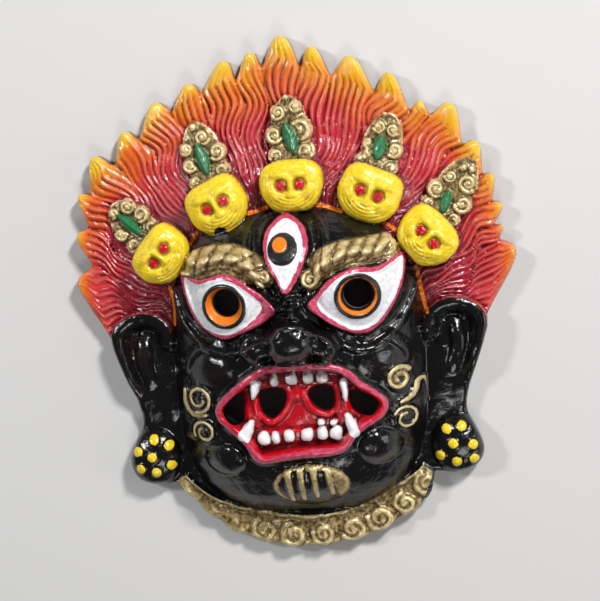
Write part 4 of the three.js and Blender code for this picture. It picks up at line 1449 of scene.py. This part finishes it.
class Paint(Nodes):
    """Hand-painted gloss enamel over a rough casting, each area bounded by its own distance."""

    def __init__(self):
        super().__init__("painted_metal")
        self.wobble = self.scaled(self.noise(1.6, 3), EDGE_WOBBLE, -EDGE_WOBBLE / 2)
        self.cloud = self.noise(12, 3)
        self.grain = self.noise(1.1, 4, 0.6)
        self.speck = self.noise(0.55)
        self.crest = self.attribute("crest")
        # Painted light from the crest value: the first ramp marks crests for a painted highlight, the
        # second marks hollows for painted shade.
        self.high = self.ramp(self.crest, -0.1, 0.5)
        self.hollow_shade = self.ramp(self.crest, 0.05, -0.5)
        self.gilt = self.area("gold", 0.15)
        self.gem = self.area("gem", 0.1)
        self.bone = self.area("yellow")
        self.eye_white = self.area("white", 0.1)
        self.back = self.attribute("back")

    def area(self, name, soft=0.12, wobbly=1.0):
        """1 where this paint lies, with an uneven edge."""
        return self.ramp(self.scaled(self.wobble, wobbly, self.attribute(name)), soft, -soft)

    def black(self):
        """Black enamel, browner where it lies thin."""
        return self.blend(self.scaled(self.ramp(self.cloud, 0.5, 0.8), 0.7), *BLACKS)

    def fire(self):
        """Flames: crimson at the root, orange, then yellow at the tips, with painted shade in the grooves
        and a painted peach highlight on the crests.
        """
        uneven = self.scaled(self.noise(9, 3), FIRE_UNEVENNESS, -FIRE_UNEVENNESS / 2)
        colour = self.colours(self.math("ADD", uneven, self.attribute("warmth")), FLAME_COLOURS)
        # Painted shade darkens the grooves, and a painted highlight lightens the crests.
        colour = self.blend(self.scaled(self.hollow_shade, 0.7), colour, GROOVE_SHADE_CRIMSON)
        return self.blend(self.scaled(self.high, 0.13), colour, CREST_HIGHLIGHT_PEACH)

    def gold(self):
        """Antique gold with random wear, a painted highlight that makes it pale on the crests and painted
        shade that makes it dark in the hollows.
        """
        # The grain gives random wear; the crest value adds a painted highlight on crests and painted
        # shade in hollows.
        crests = self.scaled(self.high, 0.72)
        wear_and_painted_light = self.scaled(self.ramp(self.grain, 0.3, 0.68), 0.42, crests, clamp=True)
        return self.colours(wear_and_painted_light, GOLD_COLOURS)

    def yellow(self):
        """Yellow enamel with painted shade that turns it brown in the hollows, specked with dirt."""
        colour = self.blend(self.ramp(self.grain, 0.3, 0.7), *YELLOWS)
        # Painted shade: brown in the hollows.
        colour = self.blend(self.scaled(self.hollow_shade, 0.85), colour, HOLLOW_SHADE_BROWN)
        return self.blend(self.scaled(self.ramp(self.speck, 0.66, 0.74), 0.5), colour, OLIVE)

    def pink(self):
        return self.blend(self.ramp(self.grain, 0.35, 0.7), *PINKS)

    def white(self):
        """The white of the eyes, with small grey chips."""
        colour = self.blend(self.ramp(self.grain, 0.3, 0.6), *WHITES)
        return self.blend(self.scaled(self.ramp(self.speck, 0.70, 0.76), 0.7), colour, GREY)

    def red(self):
        """The red of the mouth and the beads, with painted shade that makes it nearly black in the
        depths.
        """
        return self.blend(self.scaled(self.ramp(self.crest, 0.3, -0.7), 0.9), *RED_AND_ITS_SHADE)

    def ivory(self):
        # The teeth: ivory, greyed by painted shade in their hollows.
        return self.blend(self.scaled(self.hollow_shade, 0.6), *TOOTH_GREY_AND_ITS_SHADE)

    def colour(self):
        """One paint over another; last comes the back, bare cast metal under a thin dark wash."""
        layers = [
            (self.area("blaze", 0.3), self.fire()),
            (self.gilt, self.gold()),
            (self.gem, self.blend(self.cloud, *GREENS)),
            (self.bone, self.yellow()),
            (self.area("pink", 0.1), self.pink()),
            (self.eye_white, self.white()),
            (self.area("ring", 0.1, 0.6), RING_BLACK),
            (self.area("red", 0.1, 0.6), self.red()),
            (self.area("tooth", 0.12, 0.5), self.ivory()),
            (self.area("orange", 0.1, 0.5), ORANGE),
            (self.ramp(self.back, 0.5, 1.0), self.blend(self.cloud, *METAL_GREYS)),
        ]
        colour = self.black()
        for where, paint in layers:
            colour = self.blend(where, colour, paint)
        return colour

    def roughness(self):
        """Glossy enamel, with duller gold and eyes and the dullest back."""
        rough = self.scaled(self.grain, 0.16, 0.07)
        rough = self.scaled(self.math("ADD", self.gilt, self.eye_white, clamp=True), 0.20, rough)
        return self.scaled(self.back, 0.3, rough)

    def metallic(self):
        """The back is metal and the gold partly so, but not where a gem or yellow covers it."""
        metal = self.scaled(self.gilt, 0.34, self.scaled(self.back, 0.7), clamp=True)
        covered = self.math("ADD", self.gem, self.bone, clamp=True)
        return self.math("MULTIPLY", metal, self.math("SUBTRACT", 1.0, covered))

    def bump(self):
        """The grain of the casting, with fine lines along the flame strands."""
        lines = self.math("COSINE", self.scaled(self.attribute("strand"), 4 * math.pi))
        height = self.scaled(self.grain, 0.11, self.scaled(self.noise(2.6), 0.20))
        height = self.scaled(self.math("MULTIPLY", lines, self.area("blaze")), 0.02, height)
        height = self.scaled(self.speck, 0.03, height)
        return self.add("ShaderNodeBump", {"Strength": 1.0, "Distance": MM, "Height": height}).outputs[0]


def painted_metal():
    paint = Paint()
    return paint.finish(
        Base_Color=paint.colour(),
        Roughness=paint.roughness(),
        Metallic=paint.metallic(),
        Normal=paint.bump(),
        Coat_Weight=0.25,
        Coat_Roughness=0.08,
    )


def floor_material():
    return Nodes("floor").finish(Base_Color=FLOOR_GREY, Roughness=0.7)


# Floor, camera and light


def make_floor():
    mesh = bpy.data.meshes.new("floor")
    half = FLOOR_SIZE / 2
    corners = [(-half, -half, 0), (half, -half, 0), (half, half, 0), (-half, half, 0)]
    mesh.from_pydata(corners, [], [(0, 1, 2, 3)])
    mesh.materials.append(floor_material())
    floor = placed("floor", mesh)


def make_camera():
    """Looks down on the mask from a little above its middle and to its right, rolled as the photo is."""
    flat = math.cos(CAMERA_PITCH)
    back = Vector((math.sin(CAMERA_YAW) * flat, math.sin(CAMERA_PITCH), math.cos(CAMERA_YAW) * flat))
    right = Vector((0, 1, 0)).cross(back).normalized()
    up = back.cross(right)
    c, s = math.cos(CAMERA_ROLL), math.sin(CAMERA_ROLL)
    right, up = right * c - up * s, right * s + up * c
    camera = bpy.data.cameras.new("camera")
    camera.sensor_fit = "HORIZONTAL"
    camera.sensor_width = SENSOR
    camera.lens = FOCAL_PIXELS * SENSOR / PHOTO_WIDTH
    camera.shift_x = AIM_SHIFT[0] / PHOTO_WIDTH
    camera.shift_y = AIM_SHIFT[1] / PHOTO_WIDTH
    camera.clip_start = 0.01
    obj = placed("camera", camera)
    turn = Matrix((right, up, back)).transposed()
    obj.matrix_world = Matrix.Translation(back * CAMERA_DISTANCE) @ turn.to_4x4()
    bpy.context.scene.camera = obj


def area_light(name, place, size, power, colour):
    """A soft square light that faces the mask."""
    light = bpy.data.lights.new(name, "AREA")
    light.size = size
    light.energy = power
    light.color = colour
    obj = placed(name, light)
    obj.location = place
    obj.rotation_euler = (-Vector(place)).to_track_quat("-Z", "Y").to_euler()


def make_lights():
    for light in LIGHTS:
        area_light(*light)
    world = bpy.data.worlds.new("studio")
    bpy.context.scene.world = world
    world.use_nodes = True
    background = world.node_tree.nodes["Background"]
    background.inputs["Color"].default_value = (1, 1, 1, 1)
    background.inputs["Strength"].default_value = WORLD_STRENGTH
    bpy.context.scene.view_settings.view_transform = "Standard"


make_camera()
make_lights()
make_floor()
mask = mask_object()
mask.data.materials.append(painted_metal())
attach(mask, "root")
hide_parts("mask")
